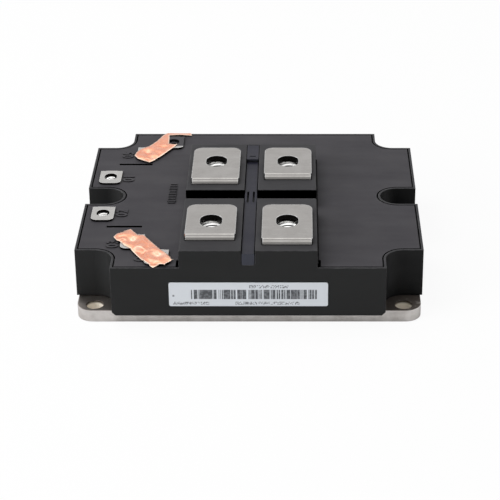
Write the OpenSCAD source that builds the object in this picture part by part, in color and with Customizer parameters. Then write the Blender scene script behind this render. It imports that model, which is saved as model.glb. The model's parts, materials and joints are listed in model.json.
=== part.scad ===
// Dual insulated-gate transistor power module: metal base plate, moulded case with a raised
// terminal block, inset lid, four bolted main terminals and six small control terminals.
// Millimetres. X runs left to right, Y runs front to back and Z is up.
// The origin is the middle of the base plate's underside.

/* [Base plate] */
// Thickness of the metal base plate
base_t = 5; // [3:0.5:8]
// How far the plate stays inside the case at the left and right
base_inset_x = 0.9; // [0:0.1:2]
// How far the plate stays inside the case at the front and back
base_inset_y = 3.1; // [1:0.1:4]
// Corner radius of the plate
base_corner_r = 6.5; // [2:0.5:10]
// Diameter of the mounting holes
mount_d = 7; // [4:0.1:9]
// Distance of the mounting holes from the case sides
mount_edge = 8; // [6:0.5:12]

/* [Case] */
// Width of the case
case_w = 140; // [130:1:180]
// Depth of the case
case_d = 130; // [128:1:170]
// Height of the case rim over the underside of the plate
rim_z = 25.8; // [24:0.2:32]
// Thickness of the outer walls
wall_t = 2.6; // [2:0.1:4]
// Width of the rim that shows round the lid
rim_w = 0.9; // [0.8:0.1:1.6]
// Radius of the wells over the mounting screws
well_r = 7.5; // [6:0.1:10]
// Width of the foot flange that stands on the plate
flange_w = 5; // [4:0.1:6]
// Thickness of the foot flange
flange_t = 2.4; // [1.5:0.1:4]
// How far the front and back walls hang below the face of the plate
skirt_drop = 0.5; // [0:0.1:3]
// How much is cut off the lower corners of those walls
corner_cut = 1.5; // [0.5:0.1:2.5]
// Thickness of the adhesive bead between case and plate
bead_t = 0.3; // [0.1:0.1:0.6]
// Thickness of the ribs inside the case
rib_t = 2.2; // [1:0.1:3]

/* [Terminal block] */
// Height of the top of the terminal block
block_z = 33.5; // [32:0.5:42]
// Block wall beside the terminal plates
block_side = 1.9; // [1.5:0.1:4]
// Block length in front of the first row of bolts
block_front = 22.5; // [20:0.5:30]
// Block length behind the second row of bolts
block_back = 22; // [18:0.5:30]
// Thickness of the block's walls and roof
block_wall = 2.6; // [1.5:0.1:4]
// Rounding of the long top edges
block_round = 0.6; // [0.2:0.1:1.5]
// Width of the creepage slot between the two rows
slot_w = 8.2; // [4:0.1:12]
// Depth of the creepage slot
slot_depth = 14; // [8:0.5:16]
// Width of the groove between the left and right halves
groove_w = 5.6; // [4:0.1:8]
// Depth of that groove
groove_depth = 6.3; // [3:0.1:10]
// Rounding of the groove's lower corners
groove_r = 1; // [0.4:0.1:2]
// How far the groove stops short of the back of the block
groove_end = 1; // [0.5:0.1:4]

/* [Main terminals] */
// Distance between the left and right bolts
main_pitch = 30.6; // [28:0.1:42]
// Distance between the front and back rows
row_pitch = 57; // [57:0.5:72]
// Width of a terminal plate
plate_w = 20.2; // [16:0.1:25]
// Thickness of a terminal plate
plate_t = 2; // [1:0.1:3]
// Length of the back plates behind their bolts
plate_back_rear = 13.9; // [12:0.1:18]
// Length of the front plates behind their bolts
plate_back_front = 14.8; // [12:0.1:18]
// Length of plate C1 in front of its bolt
plate_front_c1 = 18.9; // [15:0.1:19.5]
// Length of plate E1 in front of its bolt
plate_front_e1 = 14.4; // [13:0.1:19.5]
// Length of plate C2 in front of its bolt
plate_front_c2 = 13.5; // [13:0.1:18]
// Length of plate E2 in front of its bolt
plate_front_e2 = 17.3; // [13:0.1:18]
// Radius of the plate's back corners
plate_corner_r = 4; // [1:0.5:6]
// Bend radius inside the bent metal
bend_r = 0.3; // [0.2:0.1:1.5]
// Width of the bent leg
leg_w = 19.4; // [12:0.1:20]
// Width of the clearance hole for the bolt
bolt_hole_w = 8.9; // [8.4:0.1:11]
// Length of the clearance hole for the bolt
bolt_hole_l = 11.2; // [8.5:0.1:13]
// Width across flats of the bolt's nut
nut_af = 13; // [10:0.1:16]
// Height of the nut
nut_h = 6.5; // [5:0.1:8]
// Bore of the nut's thread
nut_bore = 6.8; // [5:0.1:8]
// Length of the solder foot
foot_len = 11; // [6:0.5:12]

/* [Control terminals] */
// Width of a control terminal
tab_w = 9.4; // [8:0.1:11]
// Thickness of a control terminal
tab_t = 0.8; // [0.5:0.1:1.2]
// Length of the tab in front of its screw
tab_front = 6.4; // [5:0.1:8]
// Length of the tab behind its screw
tab_back = 6.9; // [5:0.1:8]
// Radius of the tab's free corners
tab_corner_r = 2.6; // [0.5:0.1:4]
// Width of the tab's bent leg
tab_leg_w = 5; // [3:0.1:8]
// Width of the clearance hole for the screw
screw_hole_w = 5.3; // [4.3:0.1:6]
// Length of the clearance hole for the screw
screw_hole_l = 6.4; // [4.4:0.1:7]
// Width across flats of the screw's nut
screw_nut_af = 7; // [6:0.1:8]
// Height of the screw's nut
screw_nut_h = 3.2; // [2:0.1:4]
// Bore of the screw nut's thread
screw_nut_bore = 3.3; // [2.5:0.1:4]
// Distance of the outer terminals from the left side
outer_tab_x = 8.5; // [8:0.1:10]
// Distance of the outer terminals from the middle screw
outer_tab_y = 17.7; // [17:0.1:22]
// Distance of the emitter sense screws from the left side
sense_tab_x = 22.8; // [21:0.1:24]
// Distance of the emitter sense tabs from the nearer end of the case
sense_tab_y = 15.6; // [15:0.1:17]
// Distance of the gate screws from the left side
gate_tab_x = 33.4; // [32:0.1:35]
// Distance of the back gate tab from the back of the case
gate_tab_y = 3.8; // [3.8:0.1:5]
// Distance of the front gate tab from the front of the case
gate_front_y = 2.2; // [2.2:0.1:5]

/* [Lid] */
// Thickness of the lid
lid_t = 2; // [1.5:0.1:3]
// Gap between the lid and the rim
lid_gap = 0.6; // [0.2:0.05:0.8]
// Gap between the lid and the terminal block
block_gap = 0.6; // [0.3:0.05:1]
// Length of the lid's notches beside the front of the block
notch_l = 6; // [3:0.5:10]
// How much wider than the gap a notch is
notch_w = 0.7; // [0.3:0.1:1.2]
// Width of the ledge that carries the lid at the block
ledge_w = 2; // [1.2:0.1:3]
// Length of the two creepage slits
slit_l = 14.6; // [8:0.1:18]
// Width of the slits
slit_w = 1.6; // [0.8:0.1:2.5]
// Depth of the slits
slit_depth = 1.4; // [0.5:0.1:1.6]
// Distance of the slits from the left side
slit_x = 18.3; // [16:0.1:22]
// Distance of the back slit from the middle screw
slit_back_y = 31.9; // [30:0.1:33]
// Distance of the front slit from the middle screw
slit_front_y = 28.7; // [28:0.1:31]
// Height of the boxes that hold the screw nuts
tab_box_h = 9; // [7:0.1:9.5]

/* [Centre insulator] */
// How far the low part lies under the top of the block
bar_step = 1.3; // [0.5:0.1:3]
// Length of the raised end
bar_high_len = 14.5; // [8:0.5:20]
// Thickness of the tongue between the bus bars
tongue_t = 1.8; // [1:0.1:3]
// How far the tongue stops short of the block's ends
tongue_ends = 5.5; // [4:0.5:12]
// Width of the two slots at the crossing
bar_slot_w = 0.8; // [0.4:0.1:1.2]

/* [Label and foils] */
// Width of the label
label_w = 63; // [30:1:80]
// Height of the label
label_h = 10.6; // [6:0.1:12]
// Height of the label's middle
label_z = 14.2; // [10:0.1:18]
// Thickness of the label
label_t = 0.2; // [0.1:0.05:0.4]
// Corner radius of the label
label_r = 0.8; // [0.2:0.1:2]
// Thickness of the crumpled shorting foils
foil_t = 0.3; // [0.2:0.05:0.5]

/* [Ceramic boards] */
// Width of a ceramic board
board_w = 46; // [46:0.5:50]
// Depth of a ceramic board
board_d = 54; // [53:0.5:56]
// Distance of the boards from the middle
board_mid = 2.5; // [1.5:0.1:6]
// How far the board reaches in front of its bolt row
board_front = 15.5; // [14:0.1:18]
// Thickness of the copper on both faces
copper_t = 0.4; // [0.2:0.1:0.8]
// Thickness of the ceramic
ceramic_t = 0.7; // [0.4:0.1:1.2]
// Thickness of the chips
chip_t = 0.3; // [0.1:0.1:0.5]
// Side of a transistor chip
igbt_side = 12.6; // [8:0.1:13]
// Side of a diode chip
diode_side = 10; // [6:0.1:11]
// Diameter of the bond wires
wire_d = 0.4; // [0.2:0.1:0.6]
// Diameter of the control leads
lead_d = 1; // [0.6:0.1:1.5]
// Depth of the soft gel over the plate
gel_depth = 8; // [7:0.1:9]

/* [Fits] */
// Clearance round parts that pass through a slot
slot_clear = 0.3; // [0.1:0.05:0.6]
// Clearance round a nut in its pocket
pocket_clear = 0.15; // [0.05:0.05:0.3]
// Shrinkage gap between the gel and the case walls
gel_clear = 0.05; // [0:0.05:0.2]

/* [Hidden] */
$fn = 48;
eps = 0.01;
mount_x = case_w / 2 - mount_edge;
mount_y = case_d / 2 - mount_edge;
mounts = [for (sx = [-1, 1], sy = [-1, 0, 1]) [sx * mount_x, sy * mount_y]];
plate_size = [case_w - 2 * base_inset_x, case_d - 2 * base_inset_y];

// levels, from the bottom up
case_z = base_t + bead_t;
ceramic_z = base_t + copper_t;
track_z = ceramic_z + ceramic_t;
chip_z = track_z + copper_t;
wire_z = chip_z + chip_t;
gel_z = base_t + gel_depth;
gel_room = 6;
lead_z = gel_z + 1.2;
tab_leg_z = gel_z + 4;
rib_z = gel_z + 3;
lid_z = rim_z - lid_t;
slot_z = block_z - slot_depth;
groove_z = block_z - groove_depth;
nut_drop = 0.2;
nut_z = block_z - nut_drop - nut_h;
bolt_well_d = nut_bore + 2;
bolt_well_z = block_z + plate_t - 17;

// terminal block and the places of the main terminals
block_w = main_pitch + plate_w + 2 * block_side;
row_y = [for (k = [0, 1]) -case_d / 2 + block_front + k * row_pitch];
block_y0 = -case_d / 2;
block_y1 = row_y[1] + block_back;
slot_y = (row_y[0] + row_y[1]) / 2;
bolt_x = main_pitch / 2;
tower_w = nut_af + 2 * pocket_clear + 2 * block_wall;
notch_y1 = block_y0 + rim_w + notch_l;
ledge_y0 = notch_y1 + 1;
// side, row, front length and back length of each main terminal
main_c1 = [-1, 1, plate_front_c1, plate_back_rear];
main_e1 = [1, 1, plate_front_e1, plate_back_rear];
main_c2 = [-1, 0, plate_front_c2, plate_back_front];
main_e2 = [1, 0, plate_front_e2, plate_back_front];
mains = [main_c1, main_e1, main_c2, main_e2];

// places of the control terminals' screws
tab_c1 = [-case_w / 2 + outer_tab_x, outer_tab_y];
tab_c2 = [-case_w / 2 + outer_tab_x, -outer_tab_y];
tab_e1 = [-case_w / 2 + sense_tab_x, case_d / 2 - sense_tab_y - tab_back];
tab_e2 = [-case_w / 2 + sense_tab_x, -case_d / 2 + sense_tab_y + tab_front];
tab_g1 = [-case_w / 2 + gate_tab_x, case_d / 2 - gate_tab_y - tab_back];
tab_g2 = [-case_w / 2 + gate_tab_x, -case_d / 2 + gate_front_y + tab_front];
tabs = [tab_c1, tab_c2, tab_e1, tab_e2, tab_g1, tab_g2];
tab_box = screw_nut_af + 4.4;

// boards: side and row of each
boards = [[-1, 0], [1, 0], [-1, 1], [1, 1]];
board_edge = 1;
strip_w = 2.2;
track_gap = 0.8;
pad_x = board_edge + 2 * (strip_w + track_gap);
pad_w = 29;
rail_x = pad_x + pad_w + track_gap;
foot_pad_d = 11;
gate_strip_end = 34;
sense_strip_start = gate_strip_end + track_gap;
field_y = board_edge + foot_pad_d + 1;
chip_cols = [pad_x + 8.1, pad_x + 22.5];
igbt_rows = [20.5, 34];
diode_row = 46.5;
wire_x = [-3, 0, 3];
wire_land = rail_x + 4;
wire_arc_r = 9;
bond_foot = [1.4, 0.8];

// where the control leads land on the tracks of the left boards
outer_strip_x = -board_mid - board_w + board_edge + strip_w / 2;
inner_strip_x = outer_strip_x + strip_w + track_gap;
board_y = [for (y = row_y) y - board_front];
land_c1 = [outer_strip_x, board_y[1] + 38];
land_c2 = [outer_strip_x, board_y[0] + 40];
land_e1 = [inner_strip_x, board_y[1] + 45];
land_e2 = [inner_strip_x, board_y[0] + 16];
land_g1 = [outer_strip_x, board_y[1] + 31];
land_g2 = [outer_strip_x, board_y[0] + 2.5];
landings = [land_c1, land_c2, land_e1, land_e2, land_g1, land_g2];
lead_bend_r = 1.2;

// corners of the two crumpled foils, measured from the screws of the tabs they join
foil_front_sense = [[-7.9, 3], [-6.9, 5.9], [-4.5, 8.3], [-1.5, 10.5], [0, 7.9], [1.7, 5.3], [4.1, 5.2]];
foil_front_gate = [[1.1, 5.9], [3.5, 2.7], [5.7, -0.8], [6.2, -2.8], [5.8, -4.1], [3.7, -6.8], [2, -6.5],
                   [-0.9, -8.5], [-5.9, -2.1]];
foil_front_end = [[0.1, -7.7], [-2.9, -4.3], [-4.8, -0.9], [-6.4, 0.3]];
foil_back_sense = [[-5.7, -3.3], [-5.1, 0.4], [-3.3, 4], [0.2, 7.1]];
foil_back_gate = [[-7.5, 0.9], [-3.8, 10.6], [7.5, 10.6], [7.7, 8.3], [-2.2, 7.9], [-1.8, -2.1], [0.9, -3.4],
                  [2, -3.1], [-3, -12.5]];
foil_back_end = [[2.5, -8.8], [1.4, -9.9], [-0.8, -8.8], [-4, -6.5]];

// ---------- shared shapes ----------

// flat plate outline with its front corners, back corners or both rounded
module round_plate(x0, x1, y0, y1, front_r, back_r) {
    difference() {
        translate([x0, y0]) square([x1 - x0, y1 - y0]);
        if (front_r > 0) {
            translate([x0, y0]) corner_waste(front_r);
            translate([x1, y0]) rotate(90) corner_waste(front_r);
        }
        if (back_r > 0) {
            translate([x1, y1]) rotate(180) corner_waste(back_r);
            translate([x0, y1]) rotate(270) corner_waste(back_r);
        }
    }
}

// what a rounding of radius r takes off a square corner at the lower left
module corner_waste(r) {
    difference() {
        translate([-1, -1]) square([r + 1, r + 1]);
        translate([r, r]) circle(r = r);
    }
}

// slot hole with round ends, longer in Y
module oblong(w, l) {
    for (s = [-1, 1]) translate([0, s * (l - w) / 2]) circle(d = w);
    square([w, l - w], center = true);
}

// hexagonal nut with chamfered faces, standing on z = 0
module nut(af, h, bore) {
    corner_r = af / sqrt(3);
    edge = corner_r - af / 2;
    difference() {
        intersection() {
            cylinder(r = corner_r, h = h, $fn = 6);
            rotate_extrude()
                polygon([[0, 0], [af / 2, 0], [corner_r + eps, edge * 0.6],
                         [corner_r + eps, h - edge * 0.6], [af / 2, h], [0, h]]);
        }
        translate([0, 0, -1]) cylinder(d = bore, h = h + 2);
    }
}

// the case seen from above, taken in by some distance all round
module case_outline(inset) {
    r = well_r + inset;
    far = case_w;
    difference() {
        square([case_w - 2 * inset, case_d - 2 * inset], center = true);
        for (m = mounts) translate(m) {
            circle(r = r);
            if (m[1] == 0) {
                translate([m[0] > 0 ? 0 : -far, -r]) square([far, 2 * r]);
            } else {
                translate([m[0] > 0 ? 0 : -far, m[1] > 0 ? -r : -far]) square([far, far + r]);
                translate([m[0] > 0 ? -r : -far, m[1] > 0 ? 0 : -far]) square([far + r, far]);
            }
        }
    }
}

// a slab of that outline between two heights
module case_slab(inset, z0, z1) {
    translate([0, 0, z0]) linear_extrude(z1 - z0) case_outline(inset);
}

// ---------- base plate and case ----------

module base_plate() {
    color("#c4c2c0")
    linear_extrude(base_t)
    difference() {
        round_plate(-plate_size[0] / 2, plate_size[0] / 2, -plate_size[1] / 2, plate_size[1] / 2,
                    base_corner_r, base_corner_r);
        for (m = mounts) translate(m) circle(d = mount_d);
    }
}

module adhesive_bead() {
    color("#3d3f42")
    difference() {
        intersection() {
            case_slab(1.4, base_t, case_z);
            translate([0, 0, base_t]) linear_extrude(bead_t)
                square([plate_size[0] - 1, plate_size[1] - 1], center = true);
        }
        case_slab(flange_w - 0.4, base_t - 1, case_z + 1);
    }
}

// outer shell of the terminal block, with rounded long edges
module block_shape(inset, z0, z1, round_r) {
    w = block_w - 2 * inset;
    translate([0, block_y1 - inset, 0]) rotate([90, 0, 0])
        linear_extrude(block_y1 - block_y0 - 2 * inset)
            round_plate(-w / 2, w / 2, z0, z1, 0, round_r);
}

module nut_towers() {
    for (m = mains)
        translate([m[0] * bolt_x - tower_w / 2, row_y[m[1]] - tower_w / 2, bolt_well_z - 2])
            cube([tower_w, tower_w, block_z - bolt_well_z + 1]);
}

// slot for a terminal leg through the block
module leg_slot(m) {
    y0 = row_y[m[1]] - m[2] - slot_clear;
    translate([m[0] * bolt_x - leg_w / 2 - slot_clear, y0, rib_z - 1])
        cube([leg_w + 2 * slot_clear, plate_t + bend_r + 2 * slot_clear, block_z - rib_z + 2]);
}

module bolt_pocket(m) {
    translate([m[0] * bolt_x, row_y[m[1]], 0]) {
        translate([0, 0, nut_z])
            cylinder(r = nut_af / sqrt(3) + pocket_clear, h = nut_h + 2, $fn = 6);
        translate([0, 0, bolt_well_z]) cylinder(d = bolt_well_d, h = 20);
    }
}

// ribs that tie the block to the walls and carry the lid
module case_ribs() {
    reach = mount_x - well_r - wall_t / 2;
    for (s = [-1, 1])
        translate([s > 0 ? block_w / 2 - 1 : -reach, -rib_t / 2, rib_z])
            cube([reach - block_w / 2 + 1, rib_t, lid_z - rib_z]);
    translate([-rib_t / 2, block_y1 - 1, rib_z])
        cube([rib_t, case_d / 2 - wall_t / 2 - block_y1 + 1, lid_z - rib_z]);
}

module terminal_block() {
    difference() {
        union() {
            block_shape(0, rib_z, block_z, block_round);
            // ledge under the edge of the lid, open below the lid's notches
            translate([-block_w / 2 - ledge_w, ledge_y0, lid_z - ledge_w])
                cube([block_w + 2 * ledge_w, block_y1 + ledge_w - ledge_y0, ledge_w]);
        }
        // hollow underside, with the front wall kept
        difference() {
            block_shape(block_wall, rib_z - 1, block_z - block_wall, 0);
            nut_towers();
            // trough walls and floor of the creepage slot
            translate([-block_w, slot_y - slot_w / 2 - block_wall, slot_z - block_wall])
                cube([2 * block_w, slot_w + 2 * block_wall, slot_depth + block_wall]);
            // walls and floor of the middle groove
            translate([-groove_w / 2 - block_wall, block_y0, groove_z - block_wall])
                cube([groove_w + 2 * block_wall, block_y1 - block_y0, groove_depth]);
        }
    }
}

module case() {
    tongue_slot = tongue_t + 2 * slot_clear;
    color("#2b2b2c")
    difference() {
        union() {
            difference() {
                case_slab(0, case_z, rim_z);
                case_slab(wall_t, case_z + flange_t, lid_z);
                case_slab(flange_w, case_z - 1, case_z + flange_t + eps);
                case_slab(rim_w, lid_z, rim_z + 1);
            }
            // front and back walls reach down past the face of the plate
            for (s = [-1, 1])
                translate([-mount_x + well_r, s > 0 ? case_d / 2 - wall_t : -case_d / 2,
                           base_t - skirt_drop])
                    cube([2 * (mount_x - well_r), wall_t, skirt_drop + bead_t + eps]);
            terminal_block();
            case_ribs();
        }
        for (m = mains) {
            leg_slot(m);
            bolt_pocket(m);
        }
        // lower corners of the front and back walls, cut off in front of the plate
        for (sx = [-1, 1], sy = [-1, 1])
            translate([sx * (mount_x - well_r), sy * case_d / 2, base_t - skirt_drop])
                rotate([0, 45, 0])
                    cube([corner_cut * sqrt(2), 2 * base_inset_y, corner_cut * sqrt(2)], center = true);
        // creepage slot across the block, open at both sides above the lid
        translate([-block_w / 2 - 1, slot_y - slot_w / 2, rim_z])
            cube([block_w + 2, slot_w, block_z]);
        translate([-block_w / 2 + block_wall, slot_y - slot_w / 2, slot_z])
            cube([block_w - 2 * block_wall, slot_w, block_z]);
        // middle groove, open at the front
        translate([0, block_y1 - groove_end, 0]) rotate([90, 0, 0])
            linear_extrude(block_y1 - block_y0 + 1)
                round_plate(-groove_w / 2, groove_w / 2, groove_z, block_z + 1, groove_r, 0);
        // slot for the tongue of the insulator
        translate([-tongue_slot / 2, block_y0 + tongue_ends - slot_clear, rib_z - 1])
            cube([tongue_slot, block_y1 - block_y0 - 2 * tongue_ends + 2 * slot_clear, block_z]);
    }
}

// ---------- lid and insulator ----------

module lid() {
    color("#49494c")
    difference() {
        union() {
            difference() {
                case_slab(rim_w + lid_gap, lid_z, rim_z);
                translate([-block_w / 2 - block_gap, -case_d, lid_z - 1])
                    cube([block_w + 2 * block_gap, case_d + block_y1 + block_gap, lid_t + 2]);
                // wider notches beside the front of the block
                translate([-block_w / 2 - block_gap - notch_w, -case_d, lid_z - 1])
                    cube([block_w + 2 * (block_gap + notch_w), case_d + notch_y1, lid_t + 2]);
            }
            // boxes under the lid that hold the screw nuts
            for (t = tabs) translate([t[0] - tab_box / 2, t[1] - tab_box / 2, rim_z - tab_box_h])
                cube([tab_box, tab_box, tab_box_h - lid_t + eps]);
        }
        for (t = tabs) {
            translate([t[0], t[1], rim_z - screw_nut_h - nut_drop])
                cylinder(r = screw_nut_af / sqrt(3) + pocket_clear, h = screw_nut_h + 2, $fn = 6);
            translate([t[0], t[1], rim_z - tab_box_h + 1]) cylinder(d = screw_nut_bore + 1.2, h = 20);
            // slot for the bent leg
            translate([t[0] - tab_leg_w / 2 - slot_clear, t[1] + tab_back - tab_t - bend_r - slot_clear,
                       lid_z - tab_box_h])
                cube([tab_leg_w + 2 * slot_clear, tab_t + bend_r + 2 * slot_clear, 2 * tab_box_h]);
        }
        for (y = [slit_back_y, -slit_front_y])
            translate([-case_w / 2 + slit_x - slit_l / 2, y - slit_w / 2, rim_z - slit_depth])
                cube([slit_l, slit_w, slit_depth + 1]);
    }
}

module centre_insulator() {
    w = groove_w - 2 * slot_clear;
    y1 = block_y1 - groove_end - slot_clear;
    color("#40404a")
    difference() {
        union() {
            translate([0, y1, 0]) rotate([90, 0, 0])
                linear_extrude(y1 - block_y0)
                    round_plate(-w / 2, w / 2, groove_z, block_z - bar_step, groove_r - slot_clear, 0);
            translate([-w / 2, y1 - bar_high_len, groove_z + groove_r])
                cube([w, bar_high_len, groove_depth - groove_r]);
            // barrier between the bus bars, down to the gel
            translate([-tongue_t / 2, block_y0 + tongue_ends, gel_z])
                cube([tongue_t, block_y1 - block_y0 - 2 * tongue_ends, groove_z + 1 - gel_z]);
        }
        // two narrow slots where the creepage slot crosses
        for (x = [-1, 1])
            translate([x * 1.2 - bar_slot_w / 2, slot_y - slot_w / 2 - 1, block_z - bar_step - 1.5])
                cube([bar_slot_w, slot_w + 2, 4]);
        // small locking slit in the raised end
        translate([-1.3, y1 - bar_high_len + 2.6, block_z - 1.5]) cube([2.6, 0.8, 3]);
    }
}

// ---------- main terminals ----------

// side view of a flat bar that bends down at its front end and back again at its foot
module bent_bar(y_front, z_top, z_foot, y_top, y_foot) {
    r = bend_r;
    t = plate_t;
    translate([y_front + t + r, z_top - t]) square([y_top - y_front - t - r, t]);
    translate([y_front + t + r, z_top - t - r]) quarter_bend(r, t, -1, 1);
    translate([y_front, z_foot + t + r]) square([t, z_top - z_foot - 2 * (t + r)]);
    translate([y_front + t + r, z_foot + t + r]) quarter_bend(r, t, -1, -1);
    translate([y_front + t + r, z_foot]) square([y_foot - y_front - t - r, t]);
}

// quarter of a ring round the origin, in the quadrant given by the signs
module quarter_bend(r, t, sx, sy) {
    intersection() {
        difference() {
            circle(r = r + t);
            circle(r = r);
        }
        translate([sx > 0 ? 0 : -2 * (r + t), sy > 0 ? 0 : -2 * (r + t)])
            square(2 * (r + t));
    }
}

module main_terminal(m) {
    x = m[0] * bolt_x;
    y = row_y[m[1]];
    y_front = y - m[2];
    y_plate = y_front + plate_t + bend_r;
    color("#a9a6a1")
    difference() {
        union() {
            translate([0, 0, block_z]) linear_extrude(plate_t)
                round_plate(x - plate_w / 2, x + plate_w / 2, y_plate, y + m[3],
                            0, plate_corner_r);
            translate([x, 0, 0]) rotate([90, 0, 90]) linear_extrude(leg_w, center = true)
                bent_bar(y_front, block_z + plate_t, chip_z, y_plate + 1, y_front + foot_len);
        }
        translate([x, y, block_z - 1]) linear_extrude(plate_t + 2)
            oblong(bolt_hole_w, bolt_hole_l);
    }
}

module main_terminal_c1() { main_terminal(main_c1); }
module main_terminal_e1() { main_terminal(main_e1); }
module main_terminal_c2() { main_terminal(main_c2); }
module main_terminal_e2() { main_terminal(main_e2); }

module bolt_nuts() {
    color("#8d8b88")
    for (m = mains) translate([m[0] * bolt_x, row_y[m[1]], nut_z]) nut(nut_af, nut_h, nut_bore);
}

// ---------- control terminals ----------

module control_terminal(tab) {
    y_leg = tab[1] + tab_back;
    y_plate = y_leg - tab_t - bend_r;
    color("#bfbcb8")
    difference() {
        union() {
            translate([0, 0, rim_z]) linear_extrude(tab_t)
                round_plate(tab[0] - tab_w / 2, tab[0] + tab_w / 2, tab[1] - tab_front, y_plate,
                            tab_corner_r, 0);
            translate([tab[0], 0, 0]) rotate([90, 0, 90])
                linear_extrude(tab_leg_w, center = true) {
                    translate([y_plate - 1, rim_z]) square([1, tab_t]);
                    translate([y_plate, rim_z - bend_r]) quarter_bend(bend_r, tab_t, 1, 1);
                    translate([y_leg - tab_t, tab_leg_z]) square([tab_t, rim_z - bend_r - tab_leg_z]);
                }
        }
        translate([tab[0], tab[1], rim_z - 1]) linear_extrude(tab_t + 2)
            oblong(screw_hole_w, screw_hole_l);
    }
}

module control_terminal_c1() { control_terminal(tab_c1); }
module control_terminal_c2() { control_terminal(tab_c2); }
module control_terminal_e1() { control_terminal(tab_e1); }
module control_terminal_e2() { control_terminal(tab_e2); }
module control_terminal_g1() { control_terminal(tab_g1); }
module control_terminal_g2() { control_terminal(tab_g2); }

module screw_nuts() {
    color("#9a9894")
    for (t = tabs) translate([t[0], t[1], rim_z - nut_drop - screw_nut_h])
        nut(screw_nut_af, screw_nut_h, screw_nut_bore);
}

// ---------- ceramic boards ----------

// puts its children on a board, with u running from the outer side inwards and v backwards
module on_board(b) {
    translate([b[0] * (board_mid + board_w), board_y[b[1]], 0])
        if (b[0] > 0) mirror([1, 0, 0]) children();
        else children();
}

module ceramic(b) {
    color("#dcdcd2")
    on_board(b) translate([0, 0, ceramic_z]) cube([board_w, board_d, ceramic_t]);
}

// backing sheet, then the tracks: gate, collector sense, emitter sense, foot pad, chip pad, rail
module copper(b) {
    field_d = board_d - field_y - board_edge;
    color("#c27a4e")
    on_board(b) {
        translate([board_edge, board_edge, base_t])
            cube([board_w - 2 * board_edge, board_d - 2 * board_edge, copper_t]);
        translate([0, 0, track_z]) {
            translate([board_edge, board_edge, 0])
                cube([strip_w, gate_strip_end - board_edge, copper_t]);
            translate([board_edge, sense_strip_start, 0])
                cube([strip_w, board_d - board_edge - sense_strip_start, copper_t]);
            translate([board_edge + strip_w + track_gap, board_edge, 0])
                cube([strip_w, board_d - 2 * board_edge, copper_t]);
            translate([pad_x, board_edge, 0])
                cube([board_w - board_edge - pad_x, foot_pad_d, copper_t]);
            translate([pad_x, field_y, 0]) cube([pad_w, field_d, copper_t]);
            translate([rail_x, field_y, 0])
                cube([board_w - board_edge - rail_x, field_d, copper_t]);
        }
    }
}

module chip(u, v, side) {
    translate([u - side / 2, v - side / 2, chip_z]) cube([side, side, chip_t]);
}

module igbt_chips(b) {
    color("#5c6068")
    on_board(b) for (u = chip_cols, v = igbt_rows) chip(u, v, igbt_side);
}

module diode_chips(b) {
    color("#7a7d84")
    on_board(b) for (u = chip_cols) chip(u, diode_row, diode_side);
}

// one arched wire between two points of the same height, cut off flat at its feet
module wire_arch(u0, u1, v) {
    chord = u1 - u0;
    drop = sqrt(wire_arc_r * wire_arc_r - chord * chord / 4);
    intersection() {
        translate([u0 + chord / 2, v, wire_z - drop]) rotate([90, 0, 0])
            rotate_extrude() translate([wire_arc_r, 0]) circle(d = wire_d, $fn = 16);
        translate([u0 - 1, v - 1, wire_z]) cube([chord + 2, 2, 2 * wire_arc_r]);
    }
}

module bond_wires(b) {
    color("#c9c9c6")
    on_board(b) for (v = concat(igbt_rows, [diode_row]), dy = wire_x) {
        wire_arch(chip_cols[0], chip_cols[1] - 1, v + dy);
        wire_arch(chip_cols[1] + 1, wire_land, v + dy);
        translate([wire_land - bond_foot[0] / 2, v + dy - bond_foot[1] / 2, chip_z])
            cube([bond_foot[0], bond_foot[1], chip_t]);
    }
}

module ceramic_1() { ceramic(boards[0]); }
module ceramic_2() { ceramic(boards[1]); }
module ceramic_3() { ceramic(boards[2]); }
module ceramic_4() { ceramic(boards[3]); }
module copper_1() { copper(boards[0]); }
module copper_2() { copper(boards[1]); }
module copper_3() { copper(boards[2]); }
module copper_4() { copper(boards[3]); }
module igbt_chips_1() { igbt_chips(boards[0]); }
module igbt_chips_2() { igbt_chips(boards[1]); }
module igbt_chips_3() { igbt_chips(boards[2]); }
module igbt_chips_4() { igbt_chips(boards[3]); }
module diode_chips_1() { diode_chips(boards[0]); }
module diode_chips_2() { diode_chips(boards[1]); }
module diode_chips_3() { diode_chips(boards[2]); }
module diode_chips_4() { diode_chips(boards[3]); }
module bond_wires_1() { bond_wires(boards[0]); }
module bond_wires_2() { bond_wires(boards[1]); }
module bond_wires_3() { bond_wires(boards[2]); }
module bond_wires_4() { bond_wires(boards[3]); }

// ---------- control leads ----------

// round lead: down from a terminal's leg, across above the gel, and down to a track
module lead(tab, land) {
    from = [tab[0], tab[1] + tab_back - tab_t / 2];
    run = land - from;
    len = norm(run);
    r = lead_bend_r;
    color("#b5763f")
    translate([from[0], from[1], 0]) rotate([0, 0, atan2(run[1], run[0])]) {
        translate([0, 0, lead_z + r - eps]) cylinder(d = lead_d, h = tab_leg_z - lead_z - r + eps);
        translate([r, 0, lead_z + r]) rotate([90, 0, 0]) rotate(180) elbow();
        translate([r - eps, 0, lead_z]) rotate([0, 90, 0])
            cylinder(d = lead_d, h = len - 2 * r + 2 * eps);
        translate([len - r, 0, lead_z - r]) rotate([90, 0, 0]) elbow();
        translate([len, 0, chip_z]) cylinder(d = lead_d, h = lead_z - r - chip_z + eps);
    }
}

module elbow() {
    rotate_extrude(angle = 90) translate([lead_bend_r, 0]) circle(d = lead_d);
}

module lead_c1() { lead(tab_c1, land_c1); }
module lead_c2() { lead(tab_c2, land_c2); }
module lead_e1() { lead(tab_e1, land_e1); }
module lead_e2() { lead(tab_e2, land_e2); }
module lead_g1() { lead(tab_g1, land_g1); }
module lead_g2() { lead(tab_g2, land_g2); }

// ---------- gel, label and foils ----------

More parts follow.
